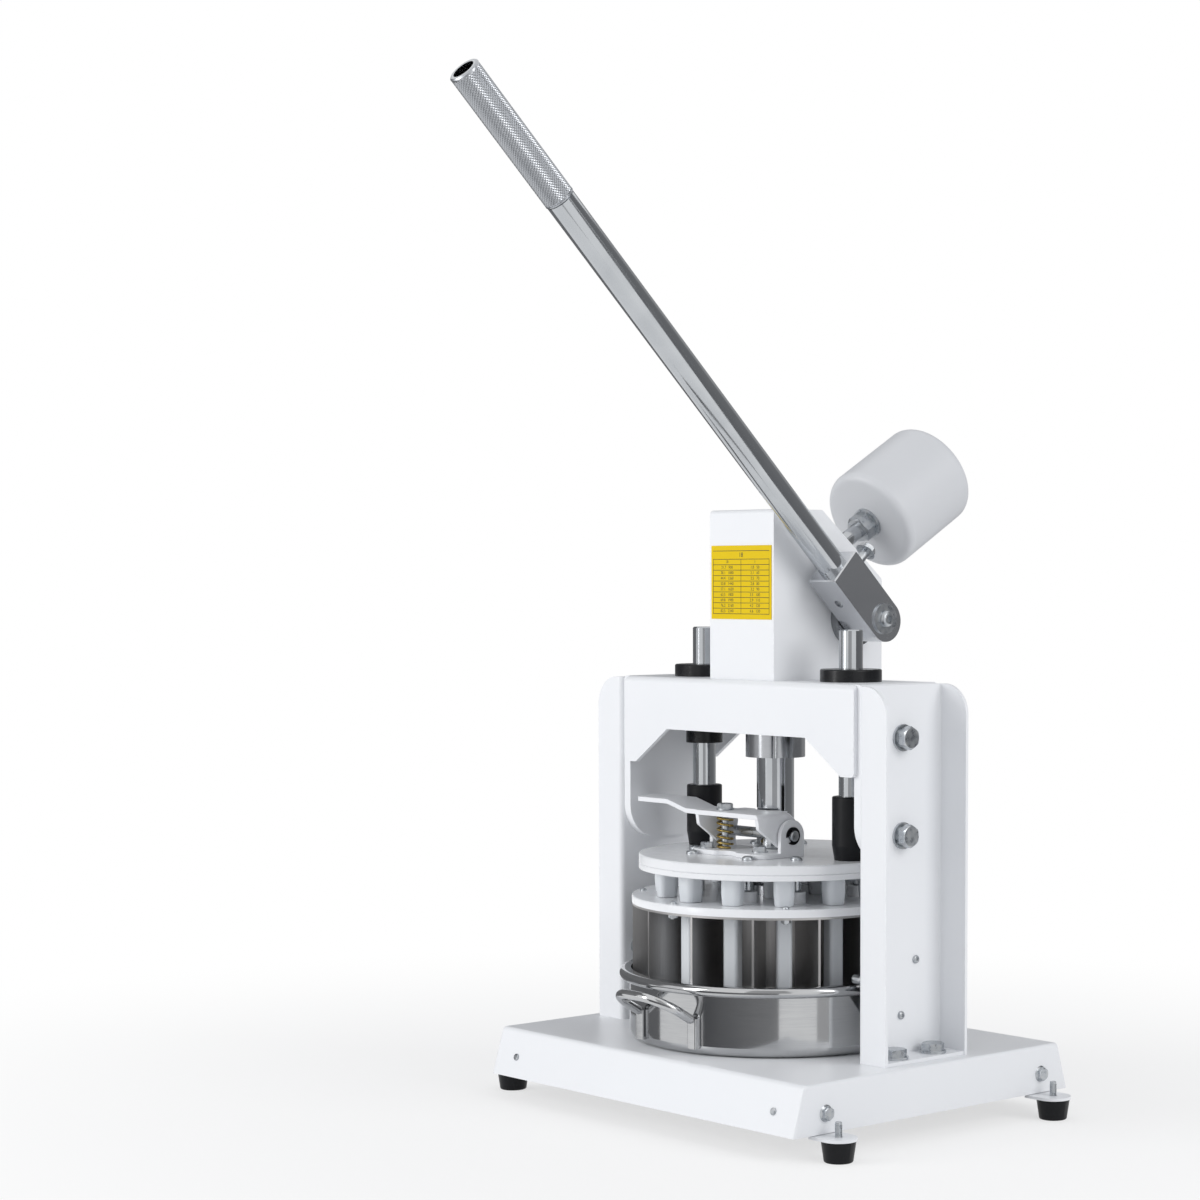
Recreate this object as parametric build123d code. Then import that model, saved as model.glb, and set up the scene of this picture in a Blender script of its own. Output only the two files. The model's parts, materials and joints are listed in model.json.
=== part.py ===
from build123d import *
import math
import os

os.makedirs("parts", exist_ok=True)

# Manual dough divider, all sizes in millimetres.
# X runs along the front, Y to the rear, Z up. The pieces are drawn about the ram shaft's axis and saved
# with the origin on the table below the middle of the whole machine.

# Fits
SLIDE = 0.05          # radial play of a sliding or turning fit
SEAT = 0.02           # radial play of a fixed fit
FLOAT = 0.3           # gap between pieces of two bodies that rest against each other
OVER = 1.0            # how far a cutting shape runs past the piece it cuts

# Fasteners: lengths, and proportions of a head
bolt_end = 1.0
sink_margin = 1.0
flange_spread = 0.68
flange_share = 0.35
crown_share = 0.95
lock_share = 0.94
dome_share = 0.8
socket_width = 0.62
socket_floor = 0.45
rivet_round = 0.6

# Rubber feet and their brackets
foot_height = 17.0
foot_top_diameter = 28.0
foot_bottom_diameter = 23.0
foot_edge = 1.5
foot_inset_y = 34.0
foot_outboard = 14.0
stud_diameter = 6.0
stud_rise = 12.0
stud_sunk = 9.0
stud_point = 0.6
foot_bracket_sheet = 2.5
foot_bracket_width = 30.0
foot_bracket_leg = 32.0
foot_bolt_height = 16.0
small_bolt_diameter = 6.0
small_bolt_flats = 10.0
small_bolt_head = 4.2
small_nut = 5.0

# Base cover
base_width = 386.0
base_depth = 318.0
base_height = 40.0
base_gap = 0.5
base_sheet = 2.0
base_lean = 12.0
base_bend = 4.5
base_corner = 2.5
rivet_spread = 164.0
rivet_height = 17.0
rivet_diameter = 6.0
rivet_dome = 1.4

# Columns
column_shift = 1.5
column_width = 32.0
column_depth = 95.0
column_height = 305.0
column_sheet = 3.0
column_bend = 5.0
column_corner = 25.0
foot_plate_inset = 1.0
column_bolt_spread = 22.0
column_bolt_diameter = 10.0
column_bolt_flats = 17.0
column_bolt_head = 6.4
column_nut = 8.0
washer_sheet = 2.0
washer_margin = 1.2
lock_washer_sheet = 2.5

# Crosshead
crosshead_depth = 96.0
crosshead_rise = 1.0
crosshead_sheet = 4.0
crosshead_bend = 6.0
crosshead_leg = 75.0
crosshead_end = 4.7
crosshead_corner = 4.0
crosshead_arch = 45.0
arch_half_top = 87.0
arch_half_bottom = 129.0
ear_sheet = 8.0
ear_thread = 6.0
ear_length = 144.0
ear_corner = 30.0
ear_bolt_upper = 44.0
ear_bolt_pitch = 80.0

# Tower that houses the crank
tower_width = 80.0
tower_front = 39.0
tower_rear = 88.0
tower_height = 143.0
tower_rear_height = 85.0
tower_flat = 17.0
tower_sheet = 2.5
tower_bend = 4.0
tower_lip = 12.0
tower_slot_width = 40.0
tower_slot_front = 2.0
tower_slot_rear_height = 70.0
tower_screw_diameter = 5.0
tower_screw_spread = 27.0
chart_width = 75.0
chart_height = 62.0
chart_sheet = 0.6
chart_drop = 30.0

# Ram shaft and its guide
shaft_diameter = 32.0
shaft_bolt_diameter = 12.0
shaft_bolt_flats = 19.0
shaft_bolt_head = 7.5
shaft_bolt_depth = 24.0
guide_diameter = 51.0
guide_length = 62.5
guide_flange_diameter = 64.0
guide_flange_sheet = 6.0
guide_bolt_circle = 54.0
notch_depth = 7.0
notch_above = 1.5
notch_below = 3.0

# Guide rods and their bushes
rod_spread = 92.0
rod_diameter = 20.0
rod_stand = 43.1
rod_screw_diameter = 8.0
rod_screw_depth = 20.0
rod_point = 1.0
bush_diameter = 32.0
bush_length = 58.3
bush_flange_diameter = 51.5
bush_flange_sheet = 10.5
bush_edge = 1.5
boot_diameter = 31.0
boot_foot_diameter = 27.0
boot_height = 53.0
boot_taper = 12.0
boot_edge = 1.2

# Lever pivot and crank
pivot_y = 50.5
pivot_rise = 51.4
pivot_diameter = 24.0
bearing_diameter = 47.0
bearing_boss_diameter = 36.0
bearing_length = 8.0
collar_diameter = 38.0
collar_length = 8.0
crank_length = 65.0
crank_rest_angle = 21.7
crank_sheet = 6.0
crank_gap = 17.0
crank_hub_diameter = 40.0
crank_pin_diameter = 12.0
crank_eye_diameter = 24.0
key_width = 8.0
key_height = 7.0
key_length = 30.0
yoke_width = 28.0
yoke_wall = 7.0
yoke_play = 0.45
yoke_lead = 1.2
yoke_round = 3.0

# Lever block, handle and grip
lever_angle = 43.9
block_width = 31.5
block_depth = 35.0
block_length = 64.0
block_tail = 3.0
block_gap = 1.0
block_edge = 1.0
handle_diameter = 24.0
handle_bore = 18.0
handle_spigot_diameter = 21.0
handle_reach = 586.0
handle_seat = 26.0
grip_diameter = 25.0
grip_length = 124.0
grip_edge = 1.0
set_screw_place = 36.0
set_screw_diameter = 8.0
set_screw_recess = 3.0
set_screw_socket = 4.0
clamp_bolt_place = 44.0
clamp_bolt_stand = 18.0
clamp_bolt_head = 5.5
clamp_bolt_flats = 13.0
end_washer_diameter = 26.0
end_washer_sheet = 2.0
end_screw_diameter = 8.0
end_screw_head_diameter = 14.0
end_screw_head = 4.4
end_screw_depth = 22.0

# Counterweight
weight_angle = 30.4
weight_offset = 41.2
weight_distance = 94.0
weight_diameter = 93.0
weight_length = 90.0
weight_edge = 7.0
weight_rod_diameter = 14.0
weight_rod_sunk = 60.0
weight_block_depth = 22.0
weight_block_back = 8.0
weight_block_front = 22.0
weight_nut_flats = 22.0
weight_nut = 12.0
weight_washer_diameter = 28.0
weight_washer_sheet = 3.0

# Knives
portion_count = 14
core_count = 4
core_turn = 45.0
blade_sheet = 2.0
knife_entry = 18.0
blade_height = 74.0
blade_corner = 4.0
knife_radius = 122.5
ring_radius = 59.0
carrier_width = 13.0
carrier_sheet = 2.0
knife_plate_margin = 0.5
knife_plate_sheet = 6.5
knife_plate_edge = 1.0
knife_hub_diameter = 44.0
knife_hub_height = 10.0
knife_hub_edge = 2.0
knife_screw_diameter = 4.0
knife_screw_head_diameter = 5.8
knife_screw_head = 2.2
knife_nut_flats = 7.0
knife_nut = 3.2
knife_screw_inset = 7.0

# Press plates and pads
press_radius = 117.0
press_sheet = 8.0
press_edge = 1.5
press_seam = 0.8
backing_sheet = 5.0
press_gap = 22.5
press_bush_diameter = 40.0
outer_pad_radius = 96.0
inner_pad_radius = 36.0
pad_radial = 13.5
pad_tangent = 13.0
pad_corner = 3.0
pad_post = 17.2
pad_post_corner = 5.4
pad_post_foot = 15.4
pad_post_taper = 9.5
pad_foot_sheet = 5.0
pad_foot_gap = 1.0
pad_flare = 3.0
pad_flare_height = 4.5
pad_play = 0.35
pad_screw_diameter = 6.0
pad_screw_head_diameter = 10.5
pad_screw_head = 3.3
pad_screw_depth = 14.0
stop_radius = 73.0
stop_count = 4
stop_turn = 45.0
stop_spread = 16.0
stop_diameter = 8.5
stop_screw_depth = 9.0
stop_boss_diameter = 16.0
stop_boss = 9.5
stop_edge = 1.0

# Latch on the press plate
latch_sheet = 4.0
bracket_half_width = 45.0
bracket_front = 58.0
bracket_shaft_gap = 5.0
bracket_corner = 9.0
scallop_radius = 16.0
scallop_depth = 7.0
scallop_round = 6.0
ear_half_depth = 13.5
latch_pin_diameter = 9.0
latch_pin_gap = 1.5
latch_pin_height = 18.0
latch_side_gap = 1.5
clip_sheet = 1.2
clip_margin = 3.0
clip_groove = 1.0
clip_mouth = 0.6
clip_turn = 30.0
latch_pin_stand = 2.5
latch_pin_point = 0.8
latch_top_rise = 37.0
latch_front = 57.0
latch_rear = 11.0
latch_fork_half = 27.0
latch_bend = 3.5
latch_shaft_gap = 1.2
latch_flange_drop = 25.0
latch_flange_lean = 2.0
latch_flange_waist = 6.5
latch_flange_front = 9.5
latch_flange_rear = 7.5
latch_flange_crop = 9.0
latch_round = 4.0
latch_handle_rear = 20.0
latch_handle_front = 54.0
latch_handle_step = 6.5
latch_handle_start = 15.5
latch_handle_ramp = 25.0
latch_handle_end = 58.5
latch_handle_cut = 19.0
latch_handle_round = 5.0
spring_x = -21.0
spring_y = -39.0
spring_diameter = 15.0
spring_wire = 1.8
spring_turns = 6
spring_bolt_hole = 11.0
spring_bolt_flats = 12.0
spring_washer_diameter = 15.0
spring_washer_sheet = 1.2
bracket_bolt_right = (24.0, -40.0)
bracket_bolt_left = (-35.5, -46.5)

# Dough pan
pan_wall = 1.2
pan_play = 1.5
pan_height = 59.3
pan_corner = 8.0
pan_bead = 9.0
pan_lip = 1.0
pan_wire = 8.0
pan_tab_sheet = 3.0
pan_tab_width = 10.0
pan_tab_height = 25.0
pan_tab_rise = 5.7
pan_tab_edge = 1.0
pan_handle_half = 33.0
pan_handle_reach = 32.0
pan_handle_lift = 19.0
pan_handle_bend = 26.0

# Pan guides on the columns
guide_plate_sheet = 2.0
guide_plate_margin = 3.5
guide_pin_diameter = 8.0
guide_pin_reach = 22.0
guide_pin_y = -30.0
guide_pin_gap = 1.0
guide_pin_edge = 1.5
guide_screw_upper = (16.0, 79.0)
guide_screw_lower = (-1.0, 34.5)
guide_screw_diameter = 5.0
guide_screw_head_diameter = 7.0
guide_screw_head = 2.2

# Heights that follow from the sizes above
base_bottom = foot_height + foot_bracket_sheet + base_gap
base_top = base_bottom + base_height
crosshead_top = base_top + column_height + crosshead_rise
crosshead_under = crosshead_top - crosshead_sheet
tower_top = crosshead_top + tower_height
pivot_z = crosshead_top + pivot_rise
pan_floor = base_top + FLOAT
pan_rim = pan_floor + pan_height
knife_tip = pan_rim - knife_entry
blade_top = knife_tip + blade_height
knife_plate_top = blade_top + knife_plate_sheet
backing_bottom = knife_plate_top + press_gap
press_bottom = backing_bottom + backing_sheet
press_top = press_bottom + press_sheet
slot_rise = crank_length * math.sin(math.radians(crank_rest_angle))
slot_z = pivot_z + slot_rise
shaft_top = slot_z - crank_pin_diameter / 2 - yoke_play - yoke_wall
rod_top = crosshead_top + rod_stand
latch_pin_z = press_top + latch_pin_height
latch_pin_y = -(shaft_diameter / 2 + latch_pin_gap + latch_pin_diameter / 2)
latch_top = press_top + latch_top_rise
latch_under = latch_top - latch_sheet
bracket_top = press_top + latch_sheet

# Radii and half sizes that follow
base_half = base_width / 2
tower_half = tower_width / 2
knife_plate_radius = knife_radius + knife_plate_margin
pan_inner_radius = knife_plate_radius + pan_play - knife_plate_margin
pan_outer_radius = pan_inner_radius + pan_wall
pan_rim_radius = pan_inner_radius + pan_lip + pan_bead
column_inner = (pan_rim_radius + base_half - column_width) / 2 + column_shift
column_web = column_inner + column_sheet
foot_spread_y = base_depth / 2 - foot_inset_y
pitch_angle = 360.0 / portion_count
block_inner = tower_half + bearing_length + block_gap
block_outer = block_inner + block_width
block_middle = block_inner + block_width / 2


def block(x0, x1, y0, y1, z0, z1):
    """A box between two corners."""
    return Pos((x0 + x1) / 2, (y0 + y1) / 2, (z0 + z1) / 2) * Box(x1 - x0, y1 - y0, z1 - z0)


def bar_z(diameter, z0, z1, x=0.0, y=0.0):
    """An upright round bar."""
    return Pos(x, y, (z0 + z1) / 2) * Cylinder(diameter / 2, z1 - z0)


def bar_x(diameter, x0, x1, y, z):
    """A round bar along X."""
    return Pos((x0 + x1) / 2, y, z) * Rot(0, 90, 0) * Cylinder(diameter / 2, x1 - x0)


def bar_y(diameter, y0, y1, x, z):
    """A round bar along Y."""
    return Pos(x, (y0 + y1) / 2, z) * Rot(90, 0, 0) * Cylinder(diameter / 2, y1 - y0)


def hexagon(flats, z0, z1):
    """An upright hexagonal prism on the Z axis."""
    return Pos(0, 0, z0) * extrude(RegularPolygon(flats / 2, 6, major_radius=False), z1 - z0)


def hex_head(flats, z0, z1):
    """A hexagon whose upper corners are turned off at thirty degrees."""
    face = flats / 2 * crown_share
    cone = Cone(face + (z1 - z0) * math.sqrt(3), face, z1 - z0)
    return hexagon(flats, z0, z1) & (Pos(0, 0, (z0 + z1) / 2) * cone)


def tube_z(outer, inner, z0, z1, x=0.0, y=0.0):
    """An upright ring."""
    return bar_z(outer, z0, z1, x, y) - bar_z(inner, z0 - OVER, z1 + OVER, x, y)


def group(solids):
    """Separate solids that share one node."""
    return Compound(children=[piece.solid() for piece in solids])


def mirrored_x(piece):
    """The same piece on the other side of the YZ plane."""
    return mirror(piece, Plane.YZ)


def around(piece, count, first_angle):
    """Copies of a piece at even angles about the shaft axis."""
    return [Rot(0, 0, first_angle + 360.0 * k / count) * piece for k in range(count)]


def four_corners(x, y):
    """Places mirrored in X and Y."""
    return [(sx * x, sy * y) for sx in (-1, 1) for sy in (-1, 1)]


# Base and feet
foot_x = base_half + foot_outboard
base_run = math.hypot(base_lean, base_height)


def base_half_depth(z):
    """Half depth of the leaning front and rear walls at a height."""
    return base_depth / 2 - base_lean * (z - base_bottom) / base_height


def base_prism(half_width, inset, z0, z1, bend, corner):
    """The tray as a solid: leaning front and rear, upright sides."""
    low = base_half_depth(z0) - inset
    high = base_half_depth(z1) - inset
    outline = Plane.YZ * Polygon((-low, z0), (low, z0), (high, z1), (-high, z1), align=None)
    outline = fillet(outline.vertices().group_by(Axis.Z)[-1], bend)
    prism = Pos(-half_width, 0, 0) * extrude(outline, 2 * half_width)
    ends = prism.faces().group_by(Axis.X)
    rims = ends[0].edges() + ends[-1].edges()
    rims = rims.filter_by(lambda edge: edge.center().Z > z0 + corner / 2)
    return fillet(rims, corner)


def base_cover():
    """Folded tray with holes for the column bolts, foot bolts and rivets."""
    wall = base_sheet * base_run / base_height
    outer = base_prism(base_half, 0, base_bottom, base_top, base_bend, base_corner)
    hollow_top = base_top - base_sheet
    inner = base_prism(base_half - base_sheet, wall, base_bottom - OVER, hollow_top,
                       base_bend - base_sheet, base_corner - base_sheet)
    cover = outer - inner
    for x, y in four_corners(column_bolt_x, column_bolt_spread):
        cover -= bar_z(column_bolt_diameter + 2 * SEAT, hollow_top - OVER, base_top + OVER, x, y)
    cut = base_sheet + OVER
    for x, y in four_corners(base_half, foot_spread_y):
        cover -= bar_x(small_bolt_diameter + 2 * SEAT, x - cut, x + cut, y, foot_bolt_z)
    for plane in rivet_planes():
        cover -= plane * Cylinder(rivet_diameter / 4 + SEAT, 3 * base_sheet)
    return cover


foot_bolt_z = base_bottom + foot_bolt_height
column_bolt_x = column_inner + column_width / 2 + column_sheet / 2


def rivet_planes():
    """Outward planes at the two rivets on the leaning front wall."""
    z = base_bottom + rivet_height
    y = -base_half_depth(z)
    normal = (0, -base_height, base_lean)
    return [Plane(origin=(x, y, z), x_dir=(1, 0, 0), z_dir=normal) for x in (-rivet_spread, rivet_spread)]


def base_rivets():
    """Blind rivets with a low dome."""
    rivets = []
    for plane in rivet_planes():
        shank = Pos(0, 0, -base_sheet) * Cylinder(rivet_diameter / 4, 2 * base_sheet)
        head = Pos(0, 0, rivet_dome / 2) * Cylinder(rivet_diameter / 2, rivet_dome)
        head = fillet(head.edges().group_by(Axis.Z)[-1], rivet_dome * rivet_round)
        rivets.append(plane * (shank + head))
    return group(rivets)


def foot_bracket():
    """Angle inside the side wall whose tab reaches out under it to the foot."""
    inner = base_half - base_sheet - foot_bracket_sheet
    tab_low = foot_height
    tab_high = foot_height + foot_bracket_sheet
    half = foot_bracket_width / 2
    tab = block(inner, foot_x, foot_spread_y - half, foot_spread_y + half, tab_low, tab_high)
    tab += bar_z(foot_bracket_width, tab_low, tab_high, foot_x, foot_spread_y)
    leg = block(inner, inner + foot_bracket_sheet, foot_spread_y - half, foot_spread_y + half,
                tab_low, tab_low + foot_bracket_leg)
    bracket = tab + leg
    bracket -= bar_z(stud_diameter + 2 * SEAT, tab_low - OVER, tab_high + OVER, foot_x, foot_spread_y)
    bracket -= bar_x(small_bolt_diameter + 2 * SEAT, inner - OVER, base_half, foot_spread_y, foot_bolt_z)
    return bracket


def rubber_foot():
    """Tapered rubber bumper with a blind hole for its stud."""
    foot = Pos(0, 0, foot_height / 2) * Cone(foot_bottom_diameter / 2, foot_top_diameter / 2, foot_height)
    foot = fillet(foot.edges().group_by(Axis.Z)[0], foot_edge)
    foot -= bar_z(stud_diameter + 2 * SEAT, foot_height - stud_sunk, foot_height + OVER)
    return Pos(foot_x, foot_spread_y, 0) * foot


def foot_stud():
    """Threaded stud moulded into the rubber."""
    top = foot_height + foot_bracket_sheet + stud_rise
    stud = bar_z(stud_diameter, foot_height - stud_sunk + SEAT, top, foot_x, foot_spread_y)
    return chamfer(stud.edges().group_by(Axis.Z)[-1], stud_point)


def flange_bolt(diameter, flats, head, grip):
    """Hex flange bolt on the Z axis, its seat at zero and its shank below."""
    flange = Cone(flats * flange_spread, flats / 2, head * flange_share,
                  align=(Align.CENTER, Align.CENTER, Align.MIN))
    return flange + hex_head(flats, 0, head) + bar_z(diameter, -grip, 0)


def hex_bolt(diameter, flats, head, washer, lock, grip):
    """Hex bolt with a flat and a spring washer on the Z axis, the flat washer's seat at zero."""
    seat = washer + lock
    ring = bar_z(flats * 2 / math.sqrt(3) + 2 * washer_margin, 0, washer)
    ring += bar_z(flats * lock_share, 0, seat)
    return ring + hex_head(flats, seat, seat + head) + bar_z(diameter, -grip, seat)


def hex_nut(diameter, flats, height):
    """Hex nut on the Z axis with its seat at zero."""
    return hex_head(flats, 0, height) - bar_z(diameter + 2 * SEAT, -OVER, height + OVER)


def foot_bolts():
    """Flange bolts through the side walls, with their nuts inside."""
    grip = base_sheet + foot_bracket_sheet
    bolt = flange_bolt(small_bolt_diameter, small_bolt_flats, small_bolt_head, grip + small_nut + bolt_end)
    nut = Pos(0, 0, -grip) * Rot(180, 0, 0) * hex_nut(small_bolt_diameter, small_bolt_flats, small_nut)
    bolts = []
    nuts = []
    for side in (-1, 1):
        for y in (-foot_spread_y, foot_spread_y):
            seat = Pos(side * base_half, y, foot_bolt_z) * Rot(0, side * 90, 0)
            bolts.append(seat * bolt)
            nuts.append(seat * nut)
    return group(bolts + nuts)


def four_feet(piece):
    """A foot piece at all four corners."""
    right = [piece, mirror(piece, Plane.XZ)]
    return group(right + [mirrored_x(one) for one in right])


# Columns and pan guides
def column():
    """Right column: a folded channel open outwards, rounded at its top, with a foot plate."""
    outer = Pos(column_width / 2, 0) * Rectangle(column_width, column_depth)
    outer = fillet(outer.vertices().group_by(Axis.X)[0], column_bend)
    inner = Pos(column_sheet + column_width / 2, 0) * Rectangle(column_width, column_depth - 2 * column_sheet)
    inner = fillet(inner.vertices().group_by(Axis.X)[0], column_bend - column_sheet)
    channel = extrude(outer - inner, column_height)
    side = Plane.XZ * Pos(column_width / 2, column_height / 2) * Rectangle(column_width, column_height)
    corner = side.vertices().group_by(Axis.X)[-1].sort_by(Axis.Z)[-1]
    side = extrude(fillet(corner, column_corner), column_depth, both=True)
    channel = channel & side
    half = column_depth / 2 - column_sheet
    plate = block(column_sheet, column_width - foot_plate_inset, -half, half, 0, column_sheet)
    piece = Pos(column_inner, 0, base_top) * (channel + plate)
    for y in (-column_bolt_spread, column_bolt_spread):
        piece -= bar_z(column_bolt_diameter + 2 * SEAT, base_top - OVER, base_top + column_sheet + OVER,
                       column_bolt_x, y)
    for z in ear_bolt_heights():
        piece -= bar_x(column_bolt_diameter + 2 * SEAT, column_inner - OVER, column_web + OVER, 0, z)
    for y, rise in (guide_screw_upper, guide_screw_lower):
        piece -= bar_x(guide_screw_diameter + 2 * SEAT, column_inner - OVER, column_web + OVER,
                       y, base_top + rise)
    return piece


def ear_bolt_heights():
    """Heights of the two bolts that hold each crosshead ear to its column."""
    upper = crosshead_top - ear_bolt_upper
    return (upper, upper - ear_bolt_pitch)


def column_bolts():
    """Bolts that hold the columns to the base, with their nuts below the sheet."""
    grip = column_sheet + base_sheet
    bolt = hex_bolt(column_bolt_diameter, column_bolt_flats, column_bolt_head, washer_sheet,
                    0, grip + column_nut + bolt_end)
    nut = Rot(180, 0, 0) * hex_nut(column_bolt_diameter, column_bolt_flats, column_nut)
    bolts = []
    nuts = []
    for x, y in four_corners(column_bolt_x, column_bolt_spread):
        bolts.append(Pos(x, y, base_top + column_sheet) * bolt)
        nuts.append(Pos(x, y, base_top - base_sheet) * nut)
    return group(bolts + nuts)


def ear_bolts():
    """Bolts through the column webs into the tapped crosshead ears."""
    bolt = hex_bolt(column_bolt_diameter, column_bolt_flats, column_bolt_head, washer_sheet,
                    lock_washer_sheet, column_sheet + ear_thread)
    right = [Pos(column_web, 0, z) * Rot(0, 90, 0) * bolt for z in ear_bolt_heights()]
    return group(right + [mirrored_x(one) for one in right])


def pan_guides():
    """Pan guides: a plate on each column web with a pin over the pan's rim."""
    x1 = column_inner
    x0 = x1 - guide_plate_sheet
    pin_z = pan_rim + guide_pin_gap + guide_pin_diameter / 2
    eye = guide_pin_diameter / 2 + guide_plate_margin
    places = [(y, base_top + rise) for y, rise in (guide_screw_upper, guide_screw_lower)]
    places.append((guide_pin_y, pin_z))
    circles = [edge for y, z in places for edge in (Pos(y, z) * Circle(eye)).edges()]
    plate = Pos(x0, 0, 0) * extrude(Plane.YZ * make_hull(circles), guide_plate_sheet)
    pin = bar_x(guide_pin_diameter, x1 - guide_pin_reach, x0, guide_pin_y, pin_z)
    pin = fillet(pin.edges().group_by(Axis.X)[0], guide_pin_edge)
    guide = plate + pin
    for y, rise in (guide_screw_upper, guide_screw_lower):
        guide -= bar_x(guide_screw_diameter + 2 * SEAT, x0 - OVER, x1 + OVER, y, base_top + rise)
    return group([guide, mirrored_x(guide)])


def pan_guide_screws():
    """Pan-head screws through the column webs."""
    grip = column_sheet + guide_plate_sheet
    screw = dome_screw(guide_screw_diameter, guide_screw_head_diameter, guide_screw_head, grip)
    right = [Pos(column_web, y, base_top + rise) * Rot(0, 90, 0) * screw
             for y, rise in (guide_screw_upper, guide_screw_lower)]
    return group(right + [mirrored_x(one) for one in right])


def dome_screw(diameter, head_diameter, head, grip):
    """Domed screw on the Z axis, its seat at zero and its shank below."""
    crown = Pos(0, 0, head / 2) * Cylinder(head_diameter / 2, head)
    crown = fillet(crown.edges().group_by(Axis.Z)[-1], head * dome_share)
    crown -= hexagon(diameter * socket_width, head * socket_floor, head + OVER)
    return crown + bar_z(diameter, -grip, 0)


# Crosshead and tower
def crosshead():
    """Folded beam: top plate, arched front and rear flanges, long ears on the columns."""
    half = crosshead_depth / 2
    length = column_inner - crosshead_end
    low = crosshead_top - crosshead_leg
    beam = bent_sheet(half, low, crosshead_top, crosshead_sheet, crosshead_bend)
    beam = Pos(-length, 0, 0) * extrude(Plane.YZ * beam, 2 * length)
    crown = crosshead_top - crosshead_arch
    arch = Polygon((-arch_half_bottom, low - OVER), (-arch_half_bottom, low), (-arch_half_top, crown),
                   (arch_half_top, crown), (arch_half_bottom, low), (arch_half_bottom, low - OVER), align=None)
    beam -= extrude(Plane.XZ * arch, crosshead_depth, both=True)
    front = Pos(0, (low + crosshead_top) / 2) * RectangleRounded(2 * length, crosshead_leg, crosshead_corner)
    beam = beam & extrude(Plane.XZ * front, crosshead_depth, both=True)
    ear = crosshead_ear(half - crosshead_sheet)
    piece = beam + ear + mirrored_x(ear)
    piece -= bar_z(shaft_diameter + 2 * bracket_shaft_gap, crosshead_under - OVER, crosshead_top + OVER)
    for x in (-rod_spread, rod_spread):
        piece -= bar_z(bush_diameter + 2 * SEAT, crosshead_under - OVER, crosshead_top + OVER, x)
    for x, y in guide_bolt_places():
        piece -= bar_z(small_bolt_diameter + 2 * SEAT, crosshead_under - OVER, crosshead_top + OVER, x, y)
    for x, y in tower_screw_places():
        piece -= bar_z(tower_screw_diameter + 2 * SEAT, crosshead_under - OVER, crosshead_top + OVER, x, y)
    return piece


def crosshead_ear(half):
    """Right ear: a thick plate between the flanges, tapped for the column bolts."""
    ear = block(column_inner - ear_sheet, column_inner, -half, half, crosshead_top - ear_length, crosshead_top)
    ear = fillet(ear.edges().filter_by(Axis.X).group_by(Axis.Z)[0], ear_corner)
    ear = fillet(ear.edges().filter_by(Axis.Y).group_by(Axis.Z)[-1].sort_by(Axis.X)[-1], crosshead_corner)
    for z in ear_bolt_heights():
        ear -= bar_x(column_bolt_diameter + 2 * SEAT, column_inner - ear_thread - SEAT, column_web, 0, z)
    return ear


def bent_sheet(half, low, high, sheet, bend):
    """Section of a sheet bent down at both sides."""
    outer = Pos(0, (low + high) / 2) * Rectangle(2 * half, high - low)
    outer = fillet(outer.vertices().group_by(Axis.Y)[-1], bend)
    inner = Pos(0, (low + high) / 2 - sheet) * Rectangle(2 * (half - sheet), high - low)
    inner = fillet(inner.vertices().group_by(Axis.Y)[-1], bend - sheet)
    return outer - inner


def guide_bolt_places():
    """Bolts of the shaft guide, on the diagonals."""
    side = guide_bolt_circle / 2 / math.sqrt(2)
    return four_corners(side, side)


def tower_screw_places():
    """Screws through the tower's floor lips."""
    inset = tower_sheet + tower_lip / 2
    front = -tower_front + inset
    rear = tower_rear - inset
    side = tower_screw_spread
    return [(-side, front), (side, front), (-side, rear), (side, rear)]


def tower_outline():
    """Side view of the tower: upright front, flat top, sloping back."""
    return Polygon((-tower_front, crosshead_top), (-tower_front, tower_top), (tower_flat, tower_top),
                   (tower_rear, crosshead_top + tower_rear_height), (tower_rear, crosshead_top), align=None)


def tower_housing():
    """Folded housing with floor lips, a slot for the counterweight rod and bearing holes."""
    outline = tower_outline()
    upper = outline.vertices().filter_by(lambda vertex: vertex.Y > crosshead_top + OVER)
    outer = extrude(Plane.YZ * fillet(upper, tower_bend), tower_half, both=True)
    hollow = offset(tower_outline(), -tower_sheet, kind=Kind.INTERSECTION)
    inside = tower_half - tower_sheet
    inner = extrude(Plane.YZ * hollow, inside, both=True)
    housing = outer - inner
    lip = tower_sheet + tower_lip
    mouth = inside - tower_lip / 2
    housing -= block(-mouth, mouth, -tower_front + lip, tower_rear - lip,
                     crosshead_top - OVER, crosshead_top + tower_sheet + OVER)
    half_slot = tower_slot_width / 2
    slot_low = crosshead_top + tower_slot_rear_height
    housing -= block(-half_slot, half_slot, tower_slot_front, tower_rear + OVER, slot_low, tower_top + OVER)
    for side in (-1, 1):
        wall = side * tower_half
        housing -= bar_x(bearing_boss_diameter + 2 * SEAT, wall - lip, wall + lip, pivot_y, pivot_z)
    for x, y in tower_screw_places():
        housing -= bar_z(tower_screw_diameter + 2 * SEAT, crosshead_top - OVER, crosshead_top + lip, x, y)
    return housing


def tower_screws():
    """Screws from below the crosshead into the tower's lips, with nuts."""
    grip = crosshead_sheet + tower_sheet
    screw = dome_screw(tower_screw_diameter, knife_screw_head_diameter, knife_screw_head,
                       grip + knife_nut + bolt_end)
    screw = Rot(180, 0, 0) * screw
    nut = hex_nut(tower_screw_diameter, knife_nut_flats, knife_nut)
    screws = [Pos(x, y, crosshead_under) * screw for x, y in tower_screw_places()]
    nuts = [Pos(x, y, crosshead_top + tower_sheet) * nut for x, y in tower_screw_places()]
    return screws + nuts


def division_chart():
    """Thin plate on the tower's front."""
    high = tower_top - chart_drop
    return block(-chart_width / 2, chart_width / 2, -tower_front - chart_sheet, -tower_front,
                 high - chart_height, high)


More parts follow.
